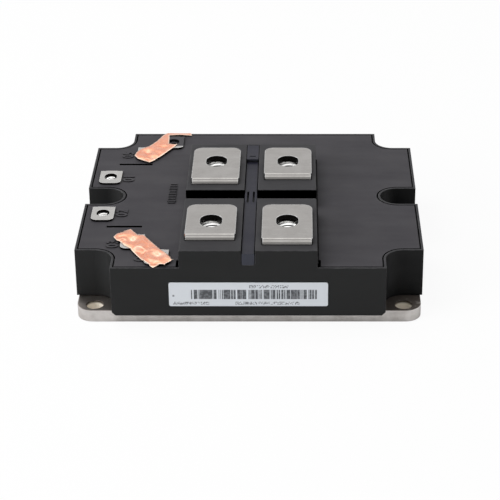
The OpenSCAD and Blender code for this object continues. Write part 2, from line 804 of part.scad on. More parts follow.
// soft gel poured over the boards, with room kept for what it flows round
module gel() {
    color("#d9dde0", 0.4)
    difference() {
        union() {
            case_slab(flange_w + gel_clear, base_t, case_z + flange_t + 1);
            case_slab(wall_t + gel_clear, case_z + flange_t, gel_z);
        }
        for (b = boards) on_board(b)
            translate([-slot_clear, -slot_clear, base_t - 1])
                cube([board_w + 2 * slot_clear, board_d + 2 * slot_clear, gel_room + 1]);
        for (m = mains)
            translate([m[0] * bolt_x - leg_w / 2 - slot_clear,
                       row_y[m[1]] - m[2] - slot_clear, chip_z - slot_clear]) {
                cube([leg_w + 2 * slot_clear, foot_len + 2 * slot_clear, plate_t + 2 * slot_clear]);
                cube([leg_w + 2 * slot_clear, plate_t + bend_r + 2 * slot_clear, gel_depth]);
            }
        for (p = landings)
            translate([p[0], p[1], base_t + 1]) cylinder(d = lead_d + slot_clear, h = gel_depth);
    }
}

module label() {
    color("#cdd2d6")
    translate([0, -case_d / 2, label_z]) rotate([90, 0, 0]) linear_extrude(label_t)
        round_plate(-label_w / 2, label_w / 2, -label_h / 2, label_h / 2, label_r, label_r);
}

// piece of copper foil laid over a sense tab and a gate tab
module shorting_foil(sense, gate, round_sense, round_gate, end_sense) {
    color("#e59a78")
    translate([0, 0, rim_z + tab_t]) linear_extrude(foil_t)
        polygon(concat([for (p = round_sense) sense + p], [for (p = round_gate) gate + p],
                       [for (p = end_sense) sense + p]));
}

module shorting_foil_front() {
    shorting_foil(tab_e2, tab_g2, foil_front_sense, foil_front_gate, foil_front_end);
}

module shorting_foil_back() {
    shorting_foil(tab_e1, tab_g1, foil_back_sense, foil_back_gate, foil_back_end);
}

base_plate();
adhesive_bead();
case();
lid();
centre_insulator();
main_terminal_c1();
main_terminal_e1();
main_terminal_c2();
main_terminal_e2();
bolt_nuts();
control_terminal_c1();
control_terminal_c2();
control_terminal_e1();
control_terminal_e2();
control_terminal_g1();
control_terminal_g2();
screw_nuts();
ceramic_1();
ceramic_2();
ceramic_3();
ceramic_4();
copper_1();
copper_2();
copper_3();
copper_4();
igbt_chips_1();
igbt_chips_2();
igbt_chips_3();
igbt_chips_4();
diode_chips_1();
diode_chips_2();
diode_chips_3();
diode_chips_4();
bond_wires_1();
bond_wires_2();
bond_wires_3();
bond_wires_4();
lead_c1();
lead_c2();
lead_e1();
lead_e2();
lead_g1();
lead_g2();
gel();
label();
shorting_foil_front();
shorting_foil_back();
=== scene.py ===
import json
import math

import bmesh
import bpy
import numpy as np
from mathutils import Matrix, Vector, noise


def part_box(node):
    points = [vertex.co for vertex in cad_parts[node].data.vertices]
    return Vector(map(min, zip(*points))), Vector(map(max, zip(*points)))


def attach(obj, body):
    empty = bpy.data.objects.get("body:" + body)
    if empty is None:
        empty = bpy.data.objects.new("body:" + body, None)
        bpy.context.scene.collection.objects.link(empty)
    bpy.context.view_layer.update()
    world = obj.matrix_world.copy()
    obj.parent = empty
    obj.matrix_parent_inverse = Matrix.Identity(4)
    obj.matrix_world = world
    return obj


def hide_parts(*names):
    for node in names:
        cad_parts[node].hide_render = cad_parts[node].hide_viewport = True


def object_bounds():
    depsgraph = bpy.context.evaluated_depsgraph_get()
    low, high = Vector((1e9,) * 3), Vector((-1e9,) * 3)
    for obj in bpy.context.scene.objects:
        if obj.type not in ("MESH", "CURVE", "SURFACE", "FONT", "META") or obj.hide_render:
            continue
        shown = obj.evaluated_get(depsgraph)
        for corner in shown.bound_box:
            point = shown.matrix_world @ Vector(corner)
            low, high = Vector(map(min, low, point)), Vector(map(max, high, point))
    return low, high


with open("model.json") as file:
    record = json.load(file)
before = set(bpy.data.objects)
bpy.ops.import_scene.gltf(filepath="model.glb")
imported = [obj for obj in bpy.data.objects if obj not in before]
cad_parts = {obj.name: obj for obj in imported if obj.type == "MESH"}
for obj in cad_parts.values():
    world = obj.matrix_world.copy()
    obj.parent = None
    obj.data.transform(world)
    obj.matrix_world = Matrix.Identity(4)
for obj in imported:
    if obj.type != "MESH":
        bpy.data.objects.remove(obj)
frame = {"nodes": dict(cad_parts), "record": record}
cadBox = [list(corner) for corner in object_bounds()]
nodes = frame["nodes"]
print("frame loaded:", len(nodes), "nodes")


# small helpers for node trees

def addNode(tree, kind, inputs=None, **settings):
    made = tree.nodes.new(kind)
    for key, value in settings.items():
        setattr(made, key, value)
    for key, value in (inputs or {}).items():
        if isinstance(value, bpy.types.NodeSocket):
            tree.links.new(value, made.inputs[key])
        else:
            made.inputs[key].default_value = value
    return made


def mathNode(tree, operation, a, b=0.5, clamp=False):
    return addNode(tree, "ShaderNodeMath", {0: a, 1: b}, operation=operation, use_clamp=clamp).outputs[0]


def rangeNode(tree, value, low, high, toLow=0.0, toHigh=1.0):
    return addNode(tree, "ShaderNodeMapRange", {"Value": value, "From Min": low, "From Max": high,
                                                "To Min": toLow, "To Max": toHigh}).outputs["Result"]


def mixColour(tree, factor, a, b):
    return addNode(tree, "ShaderNodeMix", {0: factor, 6: a, 7: b}, data_type="RGBA").outputs[2]


def noiseNode(tree, vector, scale, detail=3.0, roughness=0.5):
    return addNode(tree, "ShaderNodeTexNoise", {"Vector": vector, "Scale": scale, "Detail": detail,
                                                "Roughness": roughness}).outputs["Fac"]


def mapNode(tree, vector, scale=(1, 1, 1), turn=(0, 0, 0)):
    return addNode(tree, "ShaderNodeMapping", {"Vector": vector, "Scale": scale, "Rotation": turn}).outputs[0]


def splitNode(tree, vector):
    return addNode(tree, "ShaderNodeSeparateXYZ", {0: vector}).outputs


def product(tree, *values):
    result = values[0]
    for value in values[1:]:
        result = mathNode(tree, "MULTIPLY", result, value)
    return result


def squareSum(tree, a, b):
    return mathNode(tree, "ADD", product(tree, a, a), product(tree, b, b))


# how far a value lies from a middle, on either side
def offsetNode(tree, value, middle):
    return mathNode(tree, "ABSOLUTE", mathNode(tree, "SUBTRACT", value, middle))


# 1 inside a slab from low to high along one coordinate, with a soft edge
def between(tree, value, low, high, soft=0.0002):
    return product(tree, rangeNode(tree, value, low - soft, low + soft),
                   rangeNode(tree, value, high + soft, high - soft))


# one coordinate of the surface's normal, 1 where the surface faces along that axis
def facingNode(tree, axis="Z", normal="Normal"):
    return splitNode(tree, addNode(tree, "ShaderNodeNewGeometry").outputs[normal])[axis]


# the same colour, darker or brighter
def shaded(colour, share):
    return tuple(min(1.0, v * share) for v in colour[:3]) + (1,)


def newGroup(name, inputs, outputs):
    group = bpy.data.node_groups.new(name, "ShaderNodeTree")
    for socketName, value in inputs:
        kind = "NodeSocketVector" if socketName == "Vector" else "NodeSocketFloat"
        socket = group.interface.new_socket(name=socketName, in_out="INPUT", socket_type=kind)
        if value is not None:
            socket.default_value = value
    for socketName in outputs:
        group.interface.new_socket(name=socketName, in_out="OUTPUT", socket_type="NodeSocketFloat")
    return group, group.nodes.new("NodeGroupInput").outputs, group.nodes.new("NodeGroupOutput").inputs


def placeGroup(tree, group, vector, **values):
    made = addNode(tree, "ShaderNodeGroup", node_tree=group)
    tree.links.new(vector, made.inputs["Vector"])
    for key, value in values.items():
        made.inputs[key[0].upper() + key[1:]].default_value = value
    return made.outputs


# moulded grain: a fine pebbled height, a slow mottling and a long flow pattern
def makeGrainGroup():
    group, given, out = newGroup("mouldedGrain", [("Vector", None), ("Pebble", 2600.0), ("Mottle", 90.0)],
                                 ["Height", "Mottle", "Flow"])
    drawn = mapNode(group, given["Vector"], (14.0, 60.0, 60.0))
    group.links.new(noiseNode(group, given["Vector"], given["Pebble"], 2.0, 0.55), out["Height"])
    group.links.new(noiseNode(group, given["Vector"], given["Mottle"], 4.0, 0.6), out["Mottle"])
    group.links.new(noiseNode(group, drawn, 2.2, 3.0, 0.5), out["Flow"])
    return group


# hairline scratches on bare metal, as a mask and a height
def makeScratchGroup():
    group, given, out = newGroup("hairScratches", [("Vector", None), ("Amount", 0.5)], ["Mask", "Height"])
    deepest = 0.0
    for turn, stretch in ((0.3, 26.0), (1.25, 34.0), (2.2, 30.0)):
        drawn = mapNode(group, given["Vector"], (40.0, 40.0 * stretch, 40.0), (0, 0, turn))
        lines = rangeNode(group, noiseNode(group, drawn, 2.5, 1.0, 0.4), 0.66, 0.76)
        deepest = mathNode(group, "MAXIMUM", lines, deepest)
    scaled = product(group, deepest, given["Amount"])
    group.links.new(scaled, out["Mask"])
    group.links.new(mathNode(group, "MULTIPLY", scaled, -1.0), out["Height"])
    return group


# fine dust that settles on faces that look up
def makeDustGroup():
    group, given, out = newGroup("settledDust", [("Vector", None), ("Amount", 0.3)], ["Mask"])
    cells = addNode(group, "ShaderNodeTexVoronoi", {"Vector": given["Vector"], "Scale": 900.0})
    specks = product(group, rangeNode(group, cells.outputs["Distance"], 0.16, 0.05), 0.6)
    drift = rangeNode(group, noiseNode(group, given["Vector"], 55.0, 5.0, 0.6), 0.45, 0.75)
    upward = rangeNode(group, facingNode(group), 0.3, 0.95)
    dust = product(group, mathNode(group, "ADD", specks, drift), upward)
    group.links.new(mathNode(group, "MULTIPLY", dust, given["Amount"], clamp=True), out["Mask"])
    return group


# rubbed edges with a painted edge highlight: where the rounded normal leaves the face's own normal
def makeEdgeGroup():
    group, given, out = newGroup("rubbedEdgeHighlight", [("Vector", None), ("Radius", 0.0004)], ["Mask", "Edge"])
    rounded = addNode(group, "ShaderNodeBevel", {"Radius": given["Radius"]}, samples=6).outputs[0]
    own = addNode(group, "ShaderNodeNewGeometry").outputs["True Normal"]
    same = addNode(group, "ShaderNodeVectorMath", {0: rounded, 1: own}, operation="DOT_PRODUCT")
    broken = rangeNode(group, noiseNode(group, given["Vector"], 420.0, 3.0, 0.6), 0.3, 0.62)
    edge = rangeNode(group, same.outputs["Value"], 0.99, 0.80)
    group.links.new(product(group, edge, broken), out["Mask"])
    group.links.new(edge, out["Edge"])
    return group


# painted shade in narrow corners and under parts, from how much of the surroundings a point sees
def makeCornerShadeGroup():
    group, given, out = newGroup("paintedCornerShade", [("Vector", None), ("Reach", 0.0012), ("Amount", 0.8)],
                                 ["Mask"])
    seen = addNode(group, "ShaderNodeAmbientOcclusion", {"Distance": given["Reach"]}, samples=8).outputs["AO"]
    ragged = rangeNode(group, noiseNode(group, given["Vector"], 300.0, 3.0, 0.6), 0.3, 0.7, 0.85, 1.0)
    closed = product(group, rangeNode(group, seen, 0.92, 0.55), ragged)
    group.links.new(mathNode(group, "MULTIPLY", closed, given["Amount"], clamp=True), out["Mask"])
    return group


grainGroup = makeGrainGroup()
scratchGroup = makeScratchGroup()
dustGroup = makeDustGroup()
edgeGroup = makeEdgeGroup()
cornerShadeGroup = makeCornerShadeGroup()


def startMaterial(name):
    material = bpy.data.materials.new(name)
    material.use_nodes = True
    tree = material.node_tree
    place = addNode(tree, "ShaderNodeTexCoord").outputs["Object"]
    return material, tree, tree.nodes["Principled BSDF"], place


def bumpInto(tree, shader, height, distance, strength=1.0, radius=0.0):
    bump = addNode(tree, "ShaderNodeBump", {"Height": height, "Distance": distance, "Strength": strength})
    if radius:
        soft = addNode(tree, "ShaderNodeBevel", {"Radius": radius}, samples=6)
        tree.links.new(soft.outputs[0], bump.inputs["Normal"])
    tree.links.new(bump.outputs[0], shader.inputs["Normal"])


# moulded plastics

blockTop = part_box("case")[1][2]
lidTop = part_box("lid")[1][2]

# painted light and shade: each plastic's top and side colours are set apart for how light falls on them
casePlastic = {
    "top": (0.0240, 0.0235, 0.0262, 1), "side": (0.0155, 0.016, 0.016, 1), "dust": (0.16, 0.155, 0.15, 1),
    "wornHighlight": (0.17, 0.17, 0.172, 1), "cornerShadeColour": (0.001, 0.001, 0.001, 1), "rough": 0.50, "specular": 0.15,
    "pebble": 2600.0, "grainDepth": 0.00003, "mottled": 0.65, "dustAmount": 0.06, "edge": 0.0004,
    "wearHighlight": 0.55, "cornerShade": 0.9, "cornerShadeReach": 0.0012, "shadedEnd": (0.0545, 0.0600), "endShadeShare": 0.35,
}
lidPlastic = dict(casePlastic, top=(0.0370, 0.0350, 0.0400, 1), rough=0.55, pebble=3000.0, dustAmount=0.09,
                  edge=0.0002, wearHighlight=0.4, shadedEnd=None)
insulatorPlastic = dict(casePlastic, top=(0.0140, 0.0140, 0.0235, 1), side=(0.046, 0.049, 0.064, 1),
                        rough=0.42, pebble=3600.0, grainDepth=0.00002, dustAmount=0.05, edge=0.0003,
                        wearHighlight=0.3, shadedEnd=None)
creepage = {"x": (-0.0276, 0.0276), "y": (-0.0184, -0.0096), "below": blockTop - 0.0001, "fade": 0.0003}
lidGap = {"below": lidTop - 0.00003, "fade": 0.0001}


# painted shade: the creepage slot of the case, painted black below the block's top
def slotShadeMask(tree, place):
    parts = splitNode(tree, place)
    return product(tree, between(tree, parts["X"], *creepage["x"]), between(tree, parts["Y"], *creepage["y"]),
                   rangeNode(tree, parts["Z"], creepage["below"], creepage["below"] - creepage["fade"]))


# painted shade: the slits and the gap round the lid, painted black below the lid's top
def gapShadeMask(tree, place):
    return rangeNode(tree, splitNode(tree, place)["Z"], lidGap["below"], lidGap["below"] - lidGap["fade"])


def makePlastic(name, look, deepShadeMask=None):
    material, tree, shader, place = startMaterial(name)
    grain = placeGroup(tree, grainGroup, place, pebble=look["pebble"])
    dust = placeGroup(tree, dustGroup, place, amount=look["dustAmount"])["Mask"]
    edgeWearAndHighlight = placeGroup(tree, edgeGroup, place, radius=look["edge"])["Mask"]
    facing = facingNode(tree)
    # painted light and shade: faces that look up take the top colour, the sides take the side colour
    colour = mixColour(tree, rangeNode(tree, facing, 0.2, 0.9), look["side"], look["top"])
    if look["shadedEnd"]:                      # painted shade: the sides at the right end of the case are painted darker
        right = rangeNode(tree, splitNode(tree, place)["X"], *look["shadedEnd"])
        colour = mixColour(tree, product(tree, right, rangeNode(tree, facing, 0.6, 0.2)), colour,
                           shaded(look["side"], look["endShadeShare"]))
    colour = mixColour(tree, rangeNode(tree, grain["Mottle"], 0.3, 0.7, 0.0, 0.3), colour,
                       shaded(look["top"], look["mottled"]))
    colour = mixColour(tree, dust, colour, look["dust"])
    # rubbed edges, partly wear and partly a painted edge highlight
    colour = mixColour(tree, product(tree, edgeWearAndHighlight, look["wearHighlight"]), colour, look["wornHighlight"])
    # painted shade: narrow corners and places under parts are darkened
    cornerShade = placeGroup(tree, cornerShadeGroup, place, reach=look["cornerShadeReach"], amount=look["cornerShade"])["Mask"]
    colour = mixColour(tree, cornerShade, colour, look["cornerShadeColour"])
    rough = rangeNode(tree, grain["Flow"], 0.3, 0.7, look["rough"] - 0.06, look["rough"] + 0.06)
    rough = mathNode(tree, "ADD", rough, product(tree, dust, 0.4))
    if deepShadeMask:                              # painted shade: deep narrow places are painted black and metallic, keeping neither light nor gloss
        deepShade = deepShadeMask(tree, place)
        colour = mixColour(tree, deepShade, colour, (0.0, 0.0, 0.0, 1))
        tree.links.new(deepShade, shader.inputs["Metallic"])
    tree.links.new(colour, shader.inputs["Base Color"])
    tree.links.new(rough, shader.inputs["Roughness"])
    shader.inputs["Specular IOR Level"].default_value = look["specular"]
    bumpInto(tree, shader, grain["Height"], look["grainDepth"], 0.7, look["edge"])
    return material


# nuts: their sizes, and where the CAD nodes hold them

boltNut = {"Across Flats": 0.013, "Height": 0.0065, "Root Radius": 0.0040, "Crest Radius": 0.0034,
           "Sink Radius": 0.0052, "Turns": 4.5}
screwNut = {"Across Flats": 0.007, "Height": 0.0032, "Root Radius": 0.0020, "Crest Radius": 0.00165,
            "Sink Radius": 0.0029, "Turns": 3.9}
nutSpan = 1.17                                # a little over a hexagon's corners, for 1 across its flats


# the middle of each nut that a node holds
def nutPlaces(node, reach):
    clusters = []
    for vert in nodes[node].data.vertices:
        for cluster in clusters:
            if (cluster[0].xy - vert.co.xy).length < reach:
                cluster.append(vert.co.copy())
                break
        else:
            clusters.append([vert.co.copy()])
    return [Vector([(min(p[k] for p in cluster) + max(p[k] for p in cluster)) / 2 for k in range(3)])
            for cluster in clusters]


boltPlaces = nutPlaces("bolt_nuts", boltNut["Across Flats"] * nutSpan)
screwPlaces = nutPlaces("screw_nuts", screwNut["Across Flats"] * nutSpan)


# metals

terminalMetal = {"colour": (0.405, 0.39, 0.375, 1), "dull": (0.35, 0.335, 0.32, 1), "rough": 0.17,
                 "scratch": 0.35, "edge": 0.0007, "bright": 1.2, "wornHighlight": (0.66, 0.66, 0.67, 1), "wearHighlight": 0.8,
                 "shadedFront": False, "tarnished": False}
tabMetal = dict(terminalMetal, colour=(0.54, 0.53, 0.515, 1), dull=(0.46, 0.45, 0.435, 1), rough=0.22,
                edge=0.0004, wornHighlight=(0.92, 0.92, 0.91, 1), shadedFront=True, tarnished=True)
nutMetal = dict(terminalMetal, colour=(0.92, 0.92, 0.91, 1), dull=(0.78, 0.77, 0.76, 1), rough=0.2, edge=0.0,
                tarnished=True)
copperTrack = dict(terminalMetal, colour=(0.62, 0.33, 0.20, 1), dull=(0.45, 0.22, 0.13, 1), rough=0.35,
                   edge=0.0)
wireMetal = dict(terminalMetal, colour=(0.70, 0.70, 0.69, 1), dull=(0.55, 0.55, 0.54, 1), rough=0.25,
                 edge=0.0)
chipFace = dict(terminalMetal, colour=(0.34, 0.36, 0.40, 1), dull=(0.26, 0.27, 0.31, 1), rough=0.18,
                scratch=0.1, edge=0.0)

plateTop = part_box("main_terminal_c1")[1][2]
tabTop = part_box("control_terminal_c1")[1][2]
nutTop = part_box("bolt_nuts")[1][2]
# painted shade colour for hole walls, thread roots and the front ends of tabs
paintedShadeDark = (0.012, 0.011, 0.010, 1)
boltHole = {"spots": boltPlaces, "half": (0.00445, 0.0056), "margin": 1.12,
            "low": plateTop - 0.0025, "high": plateTop - 0.00015}
screwHole = {"spots": screwPlaces, "half": (0.00265, 0.0032), "margin": 1.12,
             "low": tabTop - 0.0016, "high": tabTop - 0.00008}
threadRoots = {"spots": boltPlaces, "half": (0.0041, 0.0041), "inner": (0.84, 0.94), "outer": (1.6, 1.4),
               "low": nutTop - 0.0073, "high": nutTop - 0.0008}


# squared distance to the nearest hole, 1 on its rim, and 1 where the height is the hole's own
def holeReach(tree, place, hole):
    parts = splitNode(tree, place)
    nearest = 100.0
    for spot in hole["spots"]:
        across = mathNode(tree, "DIVIDE", mathNode(tree, "SUBTRACT", parts["X"], spot.x), hole["half"][0])
        along = mathNode(tree, "DIVIDE", mathNode(tree, "SUBTRACT", parts["Y"], spot.y), hole["half"][1])
        nearest = mathNode(tree, "MINIMUM", squareSum(tree, across, along), nearest)
    return nearest, between(tree, parts["Z"], hole["low"], hole["high"], 0.00005)


# painted shade: the wall of a hole is painted dark
def holeShadeMask(tree, place, hole):
    reach, level = holeReach(tree, place, hole)
    return product(tree, mathNode(tree, "LESS_THAN", reach, hole["margin"]), level)


# painted shade in the roots of a thread
def threadShadeMask(tree, place, thread):
    reach, level = holeReach(tree, place, thread)
    return product(tree, rangeNode(tree, reach, *thread["inner"]), rangeNode(tree, reach, *thread["outer"]),
                   level)


# dark tarnish over most of the back gate tab and its nut
tarnish = {"x": (-0.0416, -0.0316), "y": (0.0500, 0.0616), "colour": (0.066, 0.063, 0.069, 1)}


def tarnishMask(tree, place):
    parts = splitNode(tree, place)
    return product(tree, between(tree, parts["X"], *tarnish["x"], 0.0001),
                   between(tree, parts["Y"], *tarnish["y"], 0.0003))


def makeMetal(name, look, shadeMask=None, hole=None):
    material, tree, shader, place = startMaterial(name)
    scratches = placeGroup(tree, scratchGroup, place, amount=look["scratch"])
    grain = placeGroup(tree, grainGroup, place, pebble=4200.0, mottle=140.0)
    dulled = rangeNode(tree, grain["Mottle"], 0.35, 0.7)
    colour = mixColour(tree, dulled, look["colour"], look["dull"])
    colour = mixColour(tree, scratches["Mask"], colour, shaded(look["colour"], look["bright"]))
    if look["edge"]:
        # painted edge highlight: the edges are painted lighter
        edgeWearAndHighlight = placeGroup(tree, edgeGroup, place, radius=look["edge"])["Edge"]
        colour = mixColour(tree, product(tree, edgeWearAndHighlight, look["wearHighlight"]), colour, look["wornHighlight"])
    rough = rangeNode(tree, dulled, 0.0, 1.0, look["rough"] - 0.04, look["rough"] + 0.07)
    if look["shadedFront"]:                  # painted shade: the front ends, facing forward, are painted dark
        forward = rangeNode(tree, facingNode(tree, "Y", "True Normal"), -0.35, -0.6)
        colour = mixColour(tree, forward, colour, paintedShadeDark)
    # painted shade on the walls of holes and in the roots of threads
    if shadeMask:
        wall = shadeMask(tree, place, hole)
        colour = mixColour(tree, wall, colour, paintedShadeDark)
        rough = mathNode(tree, "MAXIMUM", rough, product(tree, wall, 0.6))
    if look["tarnished"]:
        film = tarnishMask(tree, place)
        colour = mixColour(tree, film, colour, tarnish["colour"])
        rough = mathNode(tree, "MAXIMUM", rough, product(tree, film, 0.5))
    tree.links.new(colour, shader.inputs["Base Color"])
    tree.links.new(rough, shader.inputs["Roughness"])
    shader.inputs["Metallic"].default_value = 1.0
    height = mathNode(tree, "ADD", product(tree, grain["Height"], 0.4), scratches["Height"])
    bumpInto(tree, shader, height, 0.00001, 0.6, look["edge"])
    return material


# base plate: sides painted lighter than the flat faces, and holes painted near white below a dark rim,
# both painted light and shade; darker towards the front right corner

mounts = {mount["name"]: mount for mount in frame["record"]["mounts"]}
holeSpacing = mounts["base_holes_corners"]["dims"]
holeX, holeY = holeSpacing["spacing_x_mm"] / 2000, holeSpacing["spacing_y_mm"] / 2000
plateMetal = {
    "edge": (0.70, 0.67, 0.65, 1), "face": (0.50, 0.455, 0.425, 1), "hole": (0.98, 0.91, 0.80, 1),
    "darkTone": (0.035, 0.026, 0.020, 1), "mottled": 0.7, "rough": 0.46, "bevel": 0.0004,
    "holeRadius": 0.00353, "holeShadeRim": (0.0035, 0.0044),
    "darkCorner": (0.0635, -0.0570), "darkReach": 0.0130, "darkCore": 0.6, "darkAmount": 0.92,
}


def makePlate(name, look):
    material, tree, shader, place = startMaterial(name)
    scratches = placeGroup(tree, scratchGroup, place, amount=0.3)
    grain = placeGroup(tree, grainGroup, place, pebble=3200.0, mottle=160.0)
    parts = splitNode(tree, place)
    flat = rangeNode(tree, mathNode(tree, "ABSOLUTE", facingNode(tree)), 0.3, 0.8)
    # painted light and shade: sides take the lighter edge colour, faces that look up and down the darker face
    # colour
    colour = mixColour(tree, flat, look["edge"], look["face"])
    colour = mixColour(tree, rangeNode(tree, grain["Mottle"], 0.4, 0.75, 0.0, 0.5), colour,
                       shaded(look["face"], look["mottled"]))
    colour = mixColour(tree, scratches["Mask"], colour, look["edge"])
    across = offsetNode(tree, mathNode(tree, "ABSOLUTE", parts["X"]), holeX)
    forth = mathNode(tree, "ABSOLUTE", parts["Y"])
    along = mathNode(tree, "MINIMUM", offsetNode(tree, forth, holeY), forth)
    inHole = mathNode(tree, "LESS_THAN", mathNode(tree, "SQRT", squareSum(tree, across, along)),
                      look["holeRadius"])
    # darker towards the front right corner, in patches on the flat faces
    darkened = product(tree, flat, rangeNode(tree, noiseNode(tree, place, 260.0, 4.0, 0.6), 0.25, 0.42))
    for axis, middle in zip("XY", look["darkCorner"]):
        near = rangeNode(tree, offsetNode(tree, parts[axis], middle), look["darkReach"],
                         look["darkReach"] * look["darkCore"])
        darkened = product(tree, darkened, near)
    colour = mixColour(tree, product(tree, darkened, look["darkAmount"]), colour, look["darkTone"])
    # painted light and shade inside the holes: near white on the lower wall, dark at its top rim
    wall = mixColour(tree, rangeNode(tree, parts["Z"], *look["holeShadeRim"]), look["hole"], look["darkTone"])
    tree.links.new(mixColour(tree, inHole, colour, wall), shader.inputs["Base Color"])
    tree.links.new(rangeNode(tree, grain["Mottle"], 0.3, 0.7, look["rough"] - 0.06, look["rough"] + 0.08),
                   shader.inputs["Roughness"])
    tree.links.new(rangeNode(tree, mathNode(tree, "MAXIMUM", inHole, darkened), 0.0, 1.0, 1.0, 0.1),
                   shader.inputs["Metallic"])
    height = mathNode(tree, "ADD", grain["Height"], scratches["Height"])
    bumpInto(tree, shader, height, 0.00002, 0.6, look["bevel"])
    return material


# what lies inside the case: the adhesive bead, the ceramic boards and the gel over them
adhesive = {"colour": (0.02, 0.02, 0.022, 1), "rough": 0.7, "mottled": 0.75}
ceramic = {"colour": (0.80, 0.80, 0.75, 1), "rough": 0.5, "mottled": 0.75}
softGel = {"colour": (0.80, 0.84, 0.86, 1), "cloud": (0.70, 0.75, 0.78, 1), "rough": 0.12, "clear": 0.8,
           "bend": 1.41}


def makePlain(name, look):
    material, tree, shader, place = startMaterial(name)
    grain = placeGroup(tree, grainGroup, place, pebble=3000.0, mottle=200.0)
    tree.links.new(mixColour(tree, grain["Mottle"], look["colour"], shaded(look["colour"], look["mottled"])),
                   shader.inputs["Base Color"])
    shader.inputs["Roughness"].default_value = look["rough"]
    bumpInto(tree, shader, grain["Height"], 0.00002, 0.5)
    return material


def makeGel(name, look):
    material, tree, shader, place = startMaterial(name)
    grain = placeGroup(tree, grainGroup, place, pebble=400.0, mottle=60.0)
    cloudy = mixColour(tree, grain["Mottle"], look["colour"], look["cloud"])
    tree.links.new(cloudy, shader.inputs["Base Color"])
    shader.inputs["Roughness"].default_value = look["rough"]
    shader.inputs["Transmission Weight"].default_value = look["clear"]
    shader.inputs["IOR"].default_value = look["bend"]
    bumpInto(tree, shader, grain["Mottle"], 0.0001, 0.3)
    return material


# label: pale film with plain upright bars of random width and rows of tiny random blocks
labelFilm = {
    "film": (0.66, 0.69, 0.73, 1), "filmShade": (0.60, 0.63, 0.67, 1), "ink": (0.030, 0.033, 0.040, 1),
    "rough": 0.35, "inkRough": 0.55,
    "bars": (-0.0229, 0.0273, 0.0121, 0.0163), "thinStep": 0.00021, "thinAbove": 0.30,
    "wideStep": 0.00060, "wideAbove": 0.72, "wideSeed": 300.0,
    "rows": [(0.0003, 0.0158, 0.0170, 0.0184), (-0.0302, -0.0152, 0.0096, 0.0109),
             (-0.0052, 0.0203, 0.0096, 0.0109)],
    "blockStep": (0.00042, 0.00034), "blockAbove": 0.55, "blockSeed": 57.0, "blockInk": 0.8,
    "dot": (-0.0297, 0.0136), "dotReach": 0.0004,
}


def makeLabel(name, look):
    material, tree, shader, place = startMaterial(name)
    parts = splitNode(tree, place)

    def stepped(axis, size):
        return mathNode(tree, "FLOOR", mathNode(tree, "DIVIDE", parts[axis], size))

    # 1 where the random number that belongs to this step is high enough
    def chosen(step, least):
        drawn = addNode(tree, "ShaderNodeTexWhiteNoise", {"W": step}, noise_dimensions="1D").outputs["Value"]
        return mathNode(tree, "GREATER_THAN", drawn, least)

    def inside(area):
        return product(tree, between(tree, parts["X"], area[0], area[1], 0.00005),
                       between(tree, parts["Z"], area[2], area[3], 0.00005))

    thin = chosen(stepped("X", look["thinStep"]), look["thinAbove"])
    wide = chosen(mathNode(tree, "ADD", stepped("X", look["wideStep"]), look["wideSeed"]), look["wideAbove"])
    bars = product(tree, mathNode(tree, "MAXIMUM", thin, wide), inside(look["bars"]))
    line = product(tree, stepped("Z", look["blockStep"][1]), look["blockSeed"])
    block = chosen(mathNode(tree, "ADD", stepped("X", look["blockStep"][0]), line), look["blockAbove"])
    small = 0.0
    for area in look["rows"]:
        small = mathNode(tree, "MAXIMUM", product(tree, block, inside(area)), small)
    away = mathNode(tree, "MAXIMUM", offsetNode(tree, parts["X"], look["dot"][0]),
                    offsetNode(tree, parts["Z"], look["dot"][1]))
    small = mathNode(tree, "MAXIMUM", small, mathNode(tree, "LESS_THAN", away, look["dotReach"]))
    printed = mathNode(tree, "MAXIMUM", bars, product(tree, small, look["blockInk"]))
    faded = rangeNode(tree, noiseNode(tree, place, 900.0, 2.0), 0.3, 0.6, 0.75, 0.95)
    inked = product(tree, printed, faded)
    film = mixColour(tree, noiseNode(tree, place, 60.0), look["film"], look["filmShade"])
    tree.links.new(mixColour(tree, inked, film, look["ink"]), shader.inputs["Base Color"])
    rough = rangeNode(tree, inked, 0.0, 1.0, look["rough"], look["inkRough"])
    tree.links.new(rough, shader.inputs["Roughness"])
    bumpInto(tree, shader, noiseNode(tree, place, 1500.0), 0.00001, 0.4, 0.0001)
    return material


foilCopper = {"colour": (0.89, 0.375, 0.235, 1), "pale": (1.0, 0.85, 0.70, 1),
              "shade": (0.76, 0.28, 0.165, 1), "rough": 0.27}


def makeFoilMetal(name, look):
    material, tree, shader, place = startMaterial(name)
    scratches = placeGroup(tree, scratchGroup, place, amount=0.08)
    # painted highlights: the ridge attribute makes fold creases, highlight spots and the rim pale
    ridge = addNode(tree, "ShaderNodeAttribute", attribute_name="ridge").outputs["Fac"]
    mottle = rangeNode(tree, noiseNode(tree, place, 240.0, 4.0, 0.6), 0.45, 0.8, 0.0, 0.7)
    tone = mixColour(tree, mottle, look["colour"], look["shade"])
    raised = mixColour(tree, ridge, tone, look["pale"])
    tree.links.new(mixColour(tree, scratches["Mask"], raised, look["pale"]), shader.inputs["Base Color"])
    shader.inputs["Metallic"].default_value = 1.0
    tree.links.new(rangeNode(tree, noiseNode(tree, place, 500.0), 0.3, 0.7, look["rough"] - 0.06,
                             look["rough"] + 0.08), shader.inputs["Roughness"])
    creases = noiseNode(tree, place, 1100.0, 3.0, 0.6)
    bumpInto(tree, shader, creases, 0.00006, 0.2)
    return material


